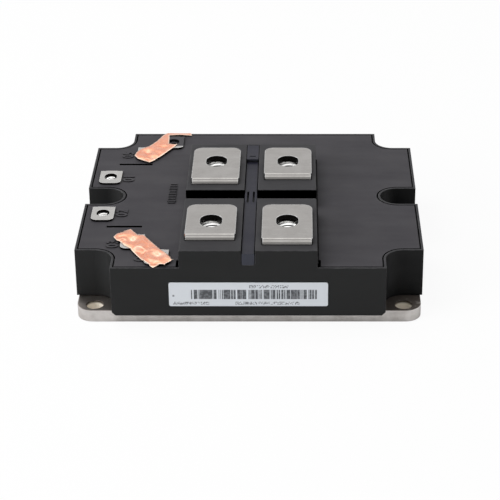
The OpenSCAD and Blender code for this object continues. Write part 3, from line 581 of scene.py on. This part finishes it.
materials = {
    "case_plastic": makePlastic("casePlastic", casePlastic, slotShadeMask),
    "lid_plastic": makePlastic("lidPlastic", lidPlastic, gapShadeMask),
    "insulator_plastic": makePlastic("insulatorPlastic", insulatorPlastic),
    "main_terminal_metal": makeMetal("terminalMetal", terminalMetal, holeShadeMask, boltHole),
    "control_terminal_metal": makeMetal("tabMetal", tabMetal, holeShadeMask, screwHole),
    "nickel_plate": makePlate("plateMetal", plateMetal),
    "nut_steel": makeMetal("nutMetal", nutMetal, threadShadeMask, threadRoots),
    "track_copper": makeMetal("copperTrack", copperTrack),
    "lead_copper": makeMetal("leadCopper", copperTrack),
    "wire_aluminium": makeMetal("wireMetal", wireMetal),
    "chip_silicon": makeMetal("chipFace", chipFace),
    "silicone_bead": makePlain("adhesiveBead", adhesive),
    "board_ceramic": makePlain("boardCeramic", ceramic),
    "clear_gel": makeGel("clearGel", softGel),
    "label_film": makeLabel("labelFilm", labelFilm),
    "foil_copper": makeFoilMetal("foilCopper", foilCopper),
}
slotOf = {part["node"]: part["material_slot"] for part in frame["record"]["subparts"]}
for name, thing in nodes.items():
    thing.data.materials.clear()
    thing.data.materials.append(materials[slotOf[name]])
print("materials placed:", len(materials))


def linkPiece(name, data, slot, standsFor=()):
    piece = bpy.data.objects.new(name, data)
    bpy.context.collection.objects.link(piece)
    if not data.materials:
        data.materials.append(materials[slot])
    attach(piece, "root")
    if standsFor:
        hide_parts(*standsFor)
    return piece


# Geometry Nodes: a tree with named inputs, run once on a carrier mesh and kept as a plain mesh

def startTree(name, inputs):
    tree = bpy.data.node_groups.new(name, "GeometryNodeTree")
    tree.interface.new_socket(name="Geometry", in_out="INPUT", socket_type="NodeSocketGeometry")
    for socketName, kind, value in inputs:
        made = tree.interface.new_socket(name=socketName, in_out="INPUT", socket_type="NodeSocket" + kind)
        made.default_value = value
    tree.interface.new_socket(name="Geometry", in_out="OUTPUT", socket_type="NodeSocketGeometry")
    return tree, tree.nodes.new("NodeGroupInput").outputs, tree.nodes.new("NodeGroupOutput").inputs


def endTree(tree, out, instances, material):
    real = addNode(tree, "GeometryNodeRealizeInstances", {"Geometry": instances})
    painted = addNode(tree, "GeometryNodeSetMaterial", {"Geometry": real.outputs[0], "Material": material})
    tree.links.new(painted.outputs[0], out["Geometry"])


def growMesh(name, places, tree, values):
    carrierData = bpy.data.meshes.new(name + "Carrier")
    carrierData.from_pydata([tuple(p) for p in places], [], [])
    carrier = bpy.data.objects.new(name + "Carrier", carrierData)
    bpy.context.collection.objects.link(carrier)
    modifier = carrier.modifiers.new("grow", "NODES")
    modifier.node_group = tree
    for item in tree.interface.items_tree:
        if item.in_out == "INPUT" and item.name in values:
            modifier[item.identifier] = values[item.name]
    carrier.update_tag()
    bpy.context.view_layer.update()
    grown = bpy.data.meshes.new_from_object(carrier.evaluated_get(bpy.context.evaluated_depsgraph_get()))
    grown.name = name
    carrier.modifiers.clear()
    bpy.data.objects.remove(carrier)
    bpy.data.meshes.remove(carrierData)
    return grown


nutForm = {"corner": 0.57735, "sides": 48, "boreLength": 1.4, "sink": 1.1, "neck": 0.95, "turnSteps": 36,
           "threadLength": 0.86}              # lengths and widths are shares of the nut's own


# hexagon nuts with a countersunk, threaded bore, one at each point
def makeNutTree():
    tree, given, out = startTree("threadedNuts", [
        ("Across Flats", "Float", 0.013), ("Height", "Float", 0.0065), ("Root Radius", "Float", 0.004),
        ("Crest Radius", "Float", 0.0034), ("Turns", "Float", 4.0), ("Sink Radius", "Float", 0.0046)])

    def times(value, share):
        return mathNode(tree, "MULTIPLY", value, share)

    def raised(geometry, height):
        shift = addNode(tree, "ShaderNodeCombineXYZ", {"Z": height}).outputs[0]
        return addNode(tree, "GeometryNodeTransform", {"Geometry": geometry, "Translation": shift}).outputs[0]

    ridgeHeight = mathNode(tree, "SUBTRACT", given["Root Radius"], given["Crest Radius"])
    sinkWidth = mathNode(tree, "SUBTRACT", given["Sink Radius"], given["Crest Radius"])
    sinkDepth = times(sinkWidth, nutForm["sink"])
    neck = times(given["Crest Radius"], nutForm["neck"])
    body = addNode(tree, "GeometryNodeMeshCylinder", {
        "Vertices": 6, "Radius": times(given["Across Flats"], nutForm["corner"]), "Depth": given["Height"]})
    bore = addNode(tree, "GeometryNodeMeshCylinder", {
        "Vertices": nutForm["sides"], "Radius": given["Root Radius"],
        "Depth": times(given["Height"], nutForm["boreLength"])})
    cutters = [bore.outputs["Mesh"]]
    for side in (1, -1):                      # a cone sunk into the top, then one into the underside
        cone = addNode(tree, "GeometryNodeMeshCone", {
            "Vertices": nutForm["sides"], "Radius Bottom": given["Sink Radius"] if side < 0 else neck,
            "Radius Top": given["Sink Radius"] if side > 0 else neck, "Depth": sinkDepth})
        level = mathNode(tree, "SUBTRACT", times(given["Height"], 0.5 * side), times(sinkDepth, 0.5))
        cutters.append(raised(cone.outputs["Mesh"], level))
    cut = addNode(tree, "GeometryNodeMeshBoolean", operation="DIFFERENCE")
    tree.links.new(body.outputs["Mesh"], cut.inputs["Mesh 1"])
    for cutter in reversed(cutters):
        tree.links.new(cutter, cut.inputs["Mesh 2"])
    spiral = addNode(tree, "GeometryNodeCurveSpiral", {
        "Resolution": nutForm["turnSteps"], "Rotations": given["Turns"], "Start Radius": given["Root Radius"],
        "End Radius": given["Root Radius"], "Height": times(given["Height"], nutForm["threadLength"])})
    upright = addNode(tree, "GeometryNodeSetCurveNormal", {"Curve": spiral.outputs[0]}, mode="Z_UP")
    lowered = raised(upright.outputs[0], times(given["Height"], -nutForm["threadLength"] / 2))
    ridge = addNode(tree, "GeometryNodeCurvePrimitiveCircle", {"Resolution": 4, "Radius": ridgeHeight})
    thread = addNode(tree, "GeometryNodeCurveToMesh", {
        "Curve": lowered, "Profile Curve": ridge.outputs["Curve"], "Fill Caps": True})
    flat = addNode(tree, "GeometryNodeSetShadeSmooth", {"Geometry": thread.outputs[0], "Shade Smooth": False})
    joined = addNode(tree, "GeometryNodeJoinGeometry")
    tree.links.new(flat.outputs[0], joined.inputs[0])
    tree.links.new(cut.outputs["Mesh"], joined.inputs[0])
    spread = addNode(tree, "GeometryNodeInstanceOnPoints", {
        "Points": given["Geometry"], "Instance": joined.outputs[0]})
    endTree(tree, out, spread.outputs[0], materials["nut_steel"])
    return tree


nutTree = makeNutTree()
for pieceName, node, nut, places in (("boltNuts", "bolt_nuts", boltNut, boltPlaces),
                                     ("screwNuts", "screw_nuts", screwNut, screwPlaces)):
    made = linkPiece(pieceName, growMesh(pieceName, places, nutTree, nut), "nut_steel", [node])
    print("nuts made:", made.name, len(places), "places,", len(made.data.polygons), "faces")


# raised moulded numbers beside the control terminals and a row of short ribs

numberMarks = {
    "height": 0.0066, "rise": 0.0004, "stroke": 0.00016, "sink": 0.00004,
    "places": [("01", -0.0534, 0.0172), ("02", -0.0535, -0.0165), ("03", -0.0549, -0.0445),
               ("04", -0.0428, -0.0560), ("05", -0.0556, 0.0416)],
}


def makeNumbers(look, top):
    joined = bmesh.new()
    for text, x, y in look["places"]:
        curve = bpy.data.curves.new("number" + text, "FONT")
        curve.body, curve.size, curve.align_x, curve.align_y = text, look["height"], "CENTER", "CENTER"
        curve.extrude, curve.offset, curve.resolution_u = look["rise"] / 2, look["stroke"], 3
        holder = bpy.data.objects.new(curve.name, curve)
        bpy.context.collection.objects.link(holder)
        bpy.context.view_layer.update()
        flat = bpy.data.meshes.new_from_object(holder.evaluated_get(bpy.context.evaluated_depsgraph_get()))
        spot = Matrix.Translation((x, y, top + look["rise"] / 2))
        flat.transform(spot @ Matrix.Rotation(math.pi / 2, 4, "Z"))
        joined.from_mesh(flat)
        bpy.data.objects.remove(holder)
        bpy.data.curves.remove(curve)
        bpy.data.meshes.remove(flat)
    bmesh.ops.remove_doubles(joined, verts=joined.verts, dist=1e-6)
    bmesh.ops.recalc_face_normals(joined, faces=joined.faces)
    data = bpy.data.meshes.new("mouldedNumbers")
    joined.to_mesh(data)
    joined.free()
    return data


# short bars in a row, each of its own random length
def makeRibTree():
    tree, given, out = startTree("ribRow", [
        ("Width", "Float", 0.0007), ("Length", "Float", 0.003), ("Rise", "Float", 0.0002),
        ("Vary", "Float", 0.25), ("Seed", "Int", 5)])
    size = addNode(tree, "ShaderNodeCombineXYZ", {"X": given["Length"], "Y": given["Width"],
                                                  "Z": given["Rise"]})
    rib = addNode(tree, "GeometryNodeMeshCube", {"Size": size.outputs[0]})
    least = mathNode(tree, "SUBTRACT", 1.0, given["Vary"])
    chance = addNode(tree, "FunctionNodeRandomValue", {2: least, 3: 1.0, "Seed": given["Seed"]},
                     data_type="FLOAT")
    scale = addNode(tree, "ShaderNodeCombineXYZ", {"X": chance.outputs[1], "Y": 1.0, "Z": 1.0})
    spread = addNode(tree, "GeometryNodeInstanceOnPoints", {
        "Points": given["Geometry"], "Instance": rib.outputs[0], "Scale": scale.outputs[0]})
    endTree(tree, out, spread.outputs[0], materials["lid_plastic"])
    return tree


ribRow = {"x": -0.0337, "from": -0.0066, "to": 0.0112, "count": 12, "raised": 0.00005, "Width": 0.0008,
          "Length": 0.0036, "Rise": 0.0007, "Vary": 0.3, "Seed": 5}

made = linkPiece("mouldedNumbers", makeNumbers(numberMarks, lidTop - numberMarks["sink"]), "lid_plastic")
print("numbers made:", len(made.data.polygons), "faces")
ribStep = (ribRow["to"] - ribRow["from"]) / (ribRow["count"] - 1)
ribPlaces = [(ribRow["x"], ribRow["from"] + k * ribStep, lidTop + ribRow["raised"])
             for k in range(ribRow["count"])]
made = linkPiece("mouldedRibs", growMesh("mouldedRibs", ribPlaces, makeRibTree(), ribRow), "lid_plastic")
print("ribs made:", len(made.data.polygons), "faces")


# crumpled copper foils: a fine sheet cut to the torn outline, pressed over the tabs below it.
# Lengths and places are in millimetres, apart from cell, thick and crumple, which are in metres.
# The outlines' x and y came out of a separate measuring program: 45 of the 49 corners stand as it
# gave them.
# Their heights, and all dimples, spots and folds, were chosen one by one.

foilSheet = {"cell": 0.00045, "thick": 0.00009, "crumple": 0.00015, "creases": (0.42, 0.27), "fine": 0.8,
             "calmRim": 1.5, "droop": (0.06, 0.25), "tabReach": 0.4, "overTab": 0.09, "lowest": 25.9,
             "oval": 1.15, "stiff": 0.02, "rimStep": 1.5, "ringPoints": 12,
             "rings": ((1.05, 0.1), (1.35, 0.0)), "clearRim": 0.6, "pressed": 0.95,
             "shares": (1.6, 0.25, 0.4), "creaseHighlight": (0.2, 8), "rimHighlight": (0.9, 0.38), "spotOval": 1.3}
foilFront = {
    "name": "foilFront", "node": "shorting_foil_front", "seed": 7,
    "tabs": ["control_terminal_e2", "control_terminal_g2"],
    "outline": [(-55.1, -40.0, 26.95), (-54.1, -37.1, 26.8), (-51.7, -34.7, 26.7), (-48.7, -32.5, 26.7),
                (-47.2, -35.1, 26.75), (-45.5, -37.7, 26.75), (-43.1, -37.8, 26.75), (-39.2, -44.2, 26.6),
                (-35.5, -50.5, 26.8), (-33.1, -53.7, 26.9), (-30.9, -57.2, 26.85), (-30.4, -59.2, 26.75),
                (-29.5, -59.0, 26.7), (-30.8, -60.5, 26.6), (-31.9, -61.9, 26.4), (-32.9, -63.2, 26.25),
                (-34.6, -62.9, 26.7), (-36.0, -63.6, 26.2), (-37.5, -64.9, 26.05), (-39.9, -62.0, 26.2),
                (-42.5, -58.5, 26.45), (-44.8, -54.8, 26.5), (-47.1, -50.7, 26.65), (-47.4, -49.7, 26.7),
                (-50.1, -47.3, 26.75), (-52.0, -43.9, 26.75), (-53.6, -42.7, 26.8)],
    "dimples": [(-47.2, -43.0, 26.2, 27.15, 2.7), (-36.2, -56.2, 26.2, 27.15, 2.7)],
    "highlightSpots": [(-47.0, -42.4, 2.1, 0.38), (-35.7, -55.6, 2.4, 0.4), (-44.4, -50.4, 1.6, 0.5)],
    "folds": [(-44.4, -51.8, 26.5), (-43.2, -49.4, 27.6), (-45.0, -49.0, 27.5), (-42.2, -51.0, 27.2),
              (-40.5, -50.0, 26.5), (-40.8, -53.5, 26.4), (-41.0, -57.0, 26.4), (-38.9, -51.0, 27.3),
              (-39.4, -57.0, 27.1), (-52.3, -40.6, 26.75), (-51.2, -38.6, 27.5), (-51.0, -42.8, 27.5),
              (-45.3, -47.2, 27.0), (-33.4, -59.8, 27.0), (-37.8, -61.6, 26.75), (-42.0, -46.4, 27.0)],
}
foilBack = {
    "name": "foilBack", "node": "shorting_foil_back", "seed": 23,
    "tabs": ["control_terminal_e1", "control_terminal_g1"],
    "outline": [(-52.9, 39.2, 26.85), (-52.3, 42.9, 26.8), (-50.5, 46.5, 26.75), (-47.0, 49.6, 26.75),
                (-44.1, 55.2, 26.65), (-41.6, 62.1, 26.5), (-40.0, 64.9, 26.3), (-34.8, 64.95, 26.2),
                (-29.1, 64.95, 26.2), (-28.7, 62.4, 26.2), (-34.1, 62.1, 26.75), (-38.8, 61.5, 26.75),
                (-38.4, 52.2, 26.8), (-35.7, 50.9, 26.95), (-34.6, 51.5, 27.0), (-35.7, 49.0, 26.85),
                (-39.6, 41.8, 26.7), (-42.4, 36.9, 26.6), (-44.7, 33.7, 26.55), (-45.8, 32.6, 26.55),
                (-48.0, 33.7, 26.7), (-51.2, 36.0, 26.8)],
    "dimples": [(-47.2, 42.5, 26.2, 27.1, 2.7)],
    "highlightSpots": [(-46.4, 43.4, 1.8, 0.15), (-45.4, 35.8, 0.9, 0.7)],
    "folds": [(-45.6, 36.6, 26.6), (-46.6, 35.0, 27.4), (-43.9, 38.6, 27.3), (-49.8, 38.0, 27.3),
              (-42.6, 44.0, 27.3), (-41.4, 47.0, 26.6), (-40.2, 50.6, 27.2), (-44.0, 50.0, 26.7),
              (-41.2, 56.0, 27.1), (-40.0, 60.0, 26.8)],
}


def insideOutline(x, y, outline):
    inside = False
    for (x0, y0, _), (x1, y1, _) in zip(outline, outline[1:] + outline[:1]):
        if (y0 > y) != (y1 > y) and x < (x1 - x0) * (y - y0) / (y1 - y0) + x0:
            inside = not inside
    return inside


def edgeDistance(x, y, outline):
    best = 1.0
    here = Vector((x, y))
    for start, end in zip(outline, outline[1:] + outline[:1]):
        a, b = Vector(start[:2]), Vector(end[:2])
        along = max(0.0, min(1.0, (here - a).dot(b - a) / (b - a).length_squared))
        best = min(best, (here - a.lerp(b, along)).length)
    return best


# smooth height through scattered points, as a bent thin plate takes it
def plateSurface(points):
    xy, z = np.array([p[:2] for p in points]), np.array([p[2] for p in points])

    def bend(a, b):
        square = ((a[:, None, :] - b[None, :, :]) ** 2).sum(2)
        return 0.5 * square * np.log(square + 1e-12)

    count = len(points)
    flat = np.hstack([np.ones((count, 1)), xy])
    system = np.zeros((count + 3, count + 3))
    system[:count, :count] = bend(xy, xy) + np.eye(count) * foilSheet["stiff"]
    system[:count, count:], system[count:, :count] = flat, flat.T
    weights = np.linalg.solve(system, np.concatenate([z, np.zeros(3)]))

    def heightAt(where):
        where = np.atleast_2d(where)
        return bend(where, xy) @ weights[:count] + weights[count] + where @ weights[count + 1:]
    return heightAt


# the points that give a foil its height: its rim, the rings round its dimples, and its folds
def foilPoints(look):
    points = []
    outline = look["outline"]
    for start, end in zip(outline, outline[1:] + outline[:1]):
        a, b = Vector(start), Vector(end)
        parts = max(1, round((b - a).length / foilSheet["rimStep"]))
        points += [tuple(a.lerp(b, k / parts)) for k in range(parts)]
    for x, y, low, ring, radius in look["dimples"]:
        points.append((x, y, low))
        for k in range(foilSheet["ringPoints"]):
            turn = k * math.tau / foilSheet["ringPoints"]
            for reach, under in foilSheet["rings"]:
                px = x + radius * reach * math.cos(turn)
                py = y + radius * reach * foilSheet["oval"] * math.sin(turn)
                if insideOutline(px, py, outline) and edgeDistance(px, py, outline) > foilSheet["clearRim"]:
                    points.append((px, py, ring - under))
    return points + look["folds"]


# the outline as a flat sheet, sliced into small cells along both axes
def cutSheet(look):
    low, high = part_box(look["node"])
    mesh = bmesh.new()
    face = mesh.faces.new([mesh.verts.new((x, y, 0)) for x, y, _ in look["outline"]])
    if face.normal.z < 0:
        face.normal_flip()
    cell = foilSheet["cell"] * 1000
    for axis in (0, 1):
        start, end = low[axis] * 1000 - 2, high[axis] * 1000 + 2
        for k in range(1, int((end - start) / cell)):
            at, normal = [0.0, 0.0, 0.0], [0.0, 0.0, 0.0]
            at[axis], normal[axis] = start + k * cell, 1.0
            bmesh.ops.bisect_plane(mesh, geom=mesh.verts[:] + mesh.edges[:] + mesh.faces[:],
                                   plane_co=at, plane_no=normal, dist=1e-4)
    bmesh.ops.triangulate(mesh, faces=mesh.faces)
    mesh.normal_update()
    mesh.verts.index_update()
    return mesh


# the least height over a tab, outside the dimples pressed into its hole
def tabLevel(x, y, tab, dimples):
    (x0, y0, _), (x1, y1, top) = tab
    over = min(x - x0 * 1000, x1 * 1000 - x, y - y0 * 1000, y1 * 1000 - y) + foilSheet["tabReach"]
    near = min(math.hypot((x - cx) / r, (y - cy) / (r * foilSheet["oval"])) for cx, cy, _, _, r in dimples)
    lies = over > 0 and near > foilSheet["pressed"]
    return top * 1000 + foilSheet["overTab"] if lies else foilSheet["lowest"]


def makeFoil(look):
    outline = look["outline"]
    heightAt = plateSurface(foilPoints(look))
    tabs = [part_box(node) for node in look["tabs"]]
    mesh = cutSheet(look)
    shift = Vector((look["seed"], look["seed"] * 0.37, 0.0))
    droop, droopWidth = foilSheet["droop"]
    creaseX, creaseY = foilSheet["creases"]
    coarse, middle, small = foilSheet["shares"]
    creasePale, creaseSharp = foilSheet["creaseHighlight"]
    rimHighlightShare, rimHighlightWidth = foilSheet["rimHighlight"]
    oval = foilSheet["spotOval"]
    levels = heightAt(np.array([vert.co.xy[:] for vert in mesh.verts]))
    paintedHighlights = []
    for vert, level in zip(mesh.verts, levels):
        x, y = vert.co.x, vert.co.y
        rim = edgeDistance(x, y, outline)
        folds = abs(noise.noise(Vector((x * creaseX, y * creaseY, 0)) + shift))
        fine = noise.noise(Vector((x, y, 0)) * foilSheet["fine"] + shift)
        calm = min(1.0, rim / foilSheet["calmRim"])
        level += foilSheet["crumple"] * 1000 * calm * (coarse * (middle - folds) + small * fine)
        level -= droop * math.exp(-(rim / droopWidth) ** 2)
        level = max([level] + [tabLevel(x, y, tab, look["dimples"]) for tab in tabs])
        vert.co = Vector((x, y, level)) / 1000
        # painted highlights: pale along the fold creases, at the listed highlight spots and along the rim
        highlightSpots = sum(amount * math.exp(-((x - bx) ** 2 + ((y - by) * oval) ** 2) / radius ** 2)
                        for bx, by, radius, amount in look["highlightSpots"])
        rimHighlight = rimHighlightShare * math.exp(-(rim / rimHighlightWidth) ** 2)
        paintedHighlights.append(min(1.0, creasePale * max(0.0, 1 - creaseSharp * folds) + highlightSpots + rimHighlight))
    data = bpy.data.meshes.new(look["name"])
    mesh.to_mesh(data)
    mesh.free()
    data.attributes.new("ridge", "FLOAT", "POINT").data.foreach_set("value", paintedHighlights)
    data.polygons.foreach_set("use_smooth", [True] * len(data.polygons))
    piece = linkPiece(look["name"], data, "foil_copper", [look["node"]])
    thick = piece.modifiers.new("thick", "SOLIDIFY")
    thick.thickness, thick.offset = foilSheet["thick"], 0.0
    return piece


for look in (foilFront, foilBack):
    made = makeFoil(look)
    print("foil made:", made.name, len(made.data.polygons), "faces")


# camera, world, floor and lamps

view = {"focal": 130.5, "sensor": 36.0, "shiftX": -0.0957, "shiftY": -0.0582, "elevation": 26.69,
        "distance": 0.7754, "look": (0.01956, 0.0, 0.014)}
# how bright the sky looks to gloss, by degrees from the back over the top to the front
sky = {"soft": 0.44, "brightest": 2.4,
       "stops": [(0, 0.93), (34, 0.93), (46, 1.35), (56, 2.4), (66, 1.2), (80, 0.75), (98, 0.9), (116, 1.6),
                 (130, 0.95), (146, 0.5), (180, 0.5)]}
paper = {"colour": (0.80, 0.80, 0.80, 1), "rough": 0.9, "size": 3.0, "below": 0.00005, "glow": 0.93}
lamps = {"overhead": {"place": (-0.45, 0.12, 1.05), "aim": (0, 0, 0), "power": 8.0, "size": 0.8},
         "key": {"place": (-1.2, -0.7, 0.55), "aim": (0, 0, 0.01), "power": 14.0, "size": 0.7}}


def makeCamera():
    data = bpy.data.cameras.new("productCamera")
    data.lens, data.sensor_width = view["focal"], view["sensor"]
    data.shift_x, data.shift_y = view["shiftX"], view["shiftY"]
    data.clip_start, data.clip_end = 0.01, 20.0
    camera = bpy.data.objects.new("productCamera", data)
    bpy.context.collection.objects.link(camera)
    tilt = math.radians(view["elevation"])
    forward = Vector((0.0, math.cos(tilt), -math.sin(tilt)))
    camera.location = Vector(view["look"]) - forward * view["distance"]
    camera.rotation_euler = (math.pi / 2 - tilt, 0.0, 0.0)
    bpy.context.scene.camera = camera


def makeWorld():
    world = bpy.data.worlds.new("studio")
    world.use_nodes = True
    tree = world.node_tree
    path = addNode(tree, "ShaderNodeLightPath").outputs
    toward = splitNode(tree, addNode(tree, "ShaderNodeTexCoord").outputs["Generated"])
    turn = mathNode(tree, "ARCTAN2", mathNode(tree, "MAXIMUM", toward["Z"], 0.0), toward["Y"])
    bands = addNode(tree, "ShaderNodeValToRGB", {"Fac": mathNode(tree, "DIVIDE", turn, math.pi)})
    ramp = bands.color_ramp.elements
    for degrees, _ in sky["stops"][1:-1]:     # a new ramp has its two ends already
        ramp.new(degrees / 180)
    for stop, (degrees, strength) in zip(ramp, sky["stops"]):
        stop.position = degrees / 180
        stop.color = (strength / sky["brightest"],) * 3 + (1,)
    bright = mathNode(tree, "MULTIPLY", bands.outputs[0], sky["brightest"])
    soft = addNode(tree, "ShaderNodeBackground", {"Color": (1, 1, 1, 1), "Strength": sky["soft"]})
    shiny = addNode(tree, "ShaderNodeBackground", {"Color": (1, 1, 1, 1), "Strength": bright})
    white = addNode(tree, "ShaderNodeBackground", {"Color": (1, 1, 1, 1), "Strength": 1.0})
    sharp = mathNode(tree, "MAXIMUM", path["Is Glossy Ray"], path["Is Transmission Ray"])
    first = addNode(tree, "ShaderNodeMixShader", {0: sharp, 1: soft.outputs[0], 2: shiny.outputs[0]})
    last = addNode(tree, "ShaderNodeMixShader", {0: path["Is Camera Ray"], 1: first.outputs[0],
                                                 2: white.outputs[0]})
    tree.links.new(last.outputs[0], tree.nodes["World Output"].inputs["Surface"])
    bpy.context.scene.world = world


def makeFloor(look):
    mesh = bmesh.new()
    bmesh.ops.create_grid(mesh, x_segments=8, y_segments=8, size=look["size"])
    data = bpy.data.meshes.new("floor")
    mesh.to_mesh(data)
    mesh.free()
    floor = bpy.data.objects.new("floor", data)
    bpy.context.collection.objects.link(floor)
    for vert in data.vertices:
        vert.co.z = cadBox[0][2] - look["below"]
    material, tree, shader, _ = startMaterial("paperFloor")
    shader.inputs["Base Color"].default_value = look["colour"]
    shader.inputs["Roughness"].default_value = look["rough"]
    path = addNode(tree, "ShaderNodeLightPath").outputs
    glow = addNode(tree, "ShaderNodeEmission", {"Color": (1, 1, 1, 1), "Strength": 1.0})
    share = mathNode(tree, "MULTIPLY", path["Is Camera Ray"], look["glow"])
    mixed = addNode(tree, "ShaderNodeMixShader", {0: share, 1: shader.outputs[0], 2: glow.outputs[0]})
    tree.links.new(mixed.outputs[0], tree.nodes["Material Output"].inputs["Surface"])
    data.materials.append(material)


def makeLamp(name, look):
    data = bpy.data.lights.new(name, "AREA")
    data.energy, data.size = look["power"], look["size"]
    lamp = bpy.data.objects.new(name, data)
    bpy.context.collection.objects.link(lamp)
    lamp.location = look["place"]
    lamp.rotation_euler = (Vector(look["aim"]) - Vector(look["place"])).to_track_quat("-Z", "Y").to_euler()
    lamp.visible_glossy = False


makeCamera()
makeWorld()
makeFloor(paper)
for name, lamp in lamps.items():
    makeLamp(name, lamp)
bpy.context.scene.view_settings.view_transform = "Standard"
print("camera, floor and lights placed")
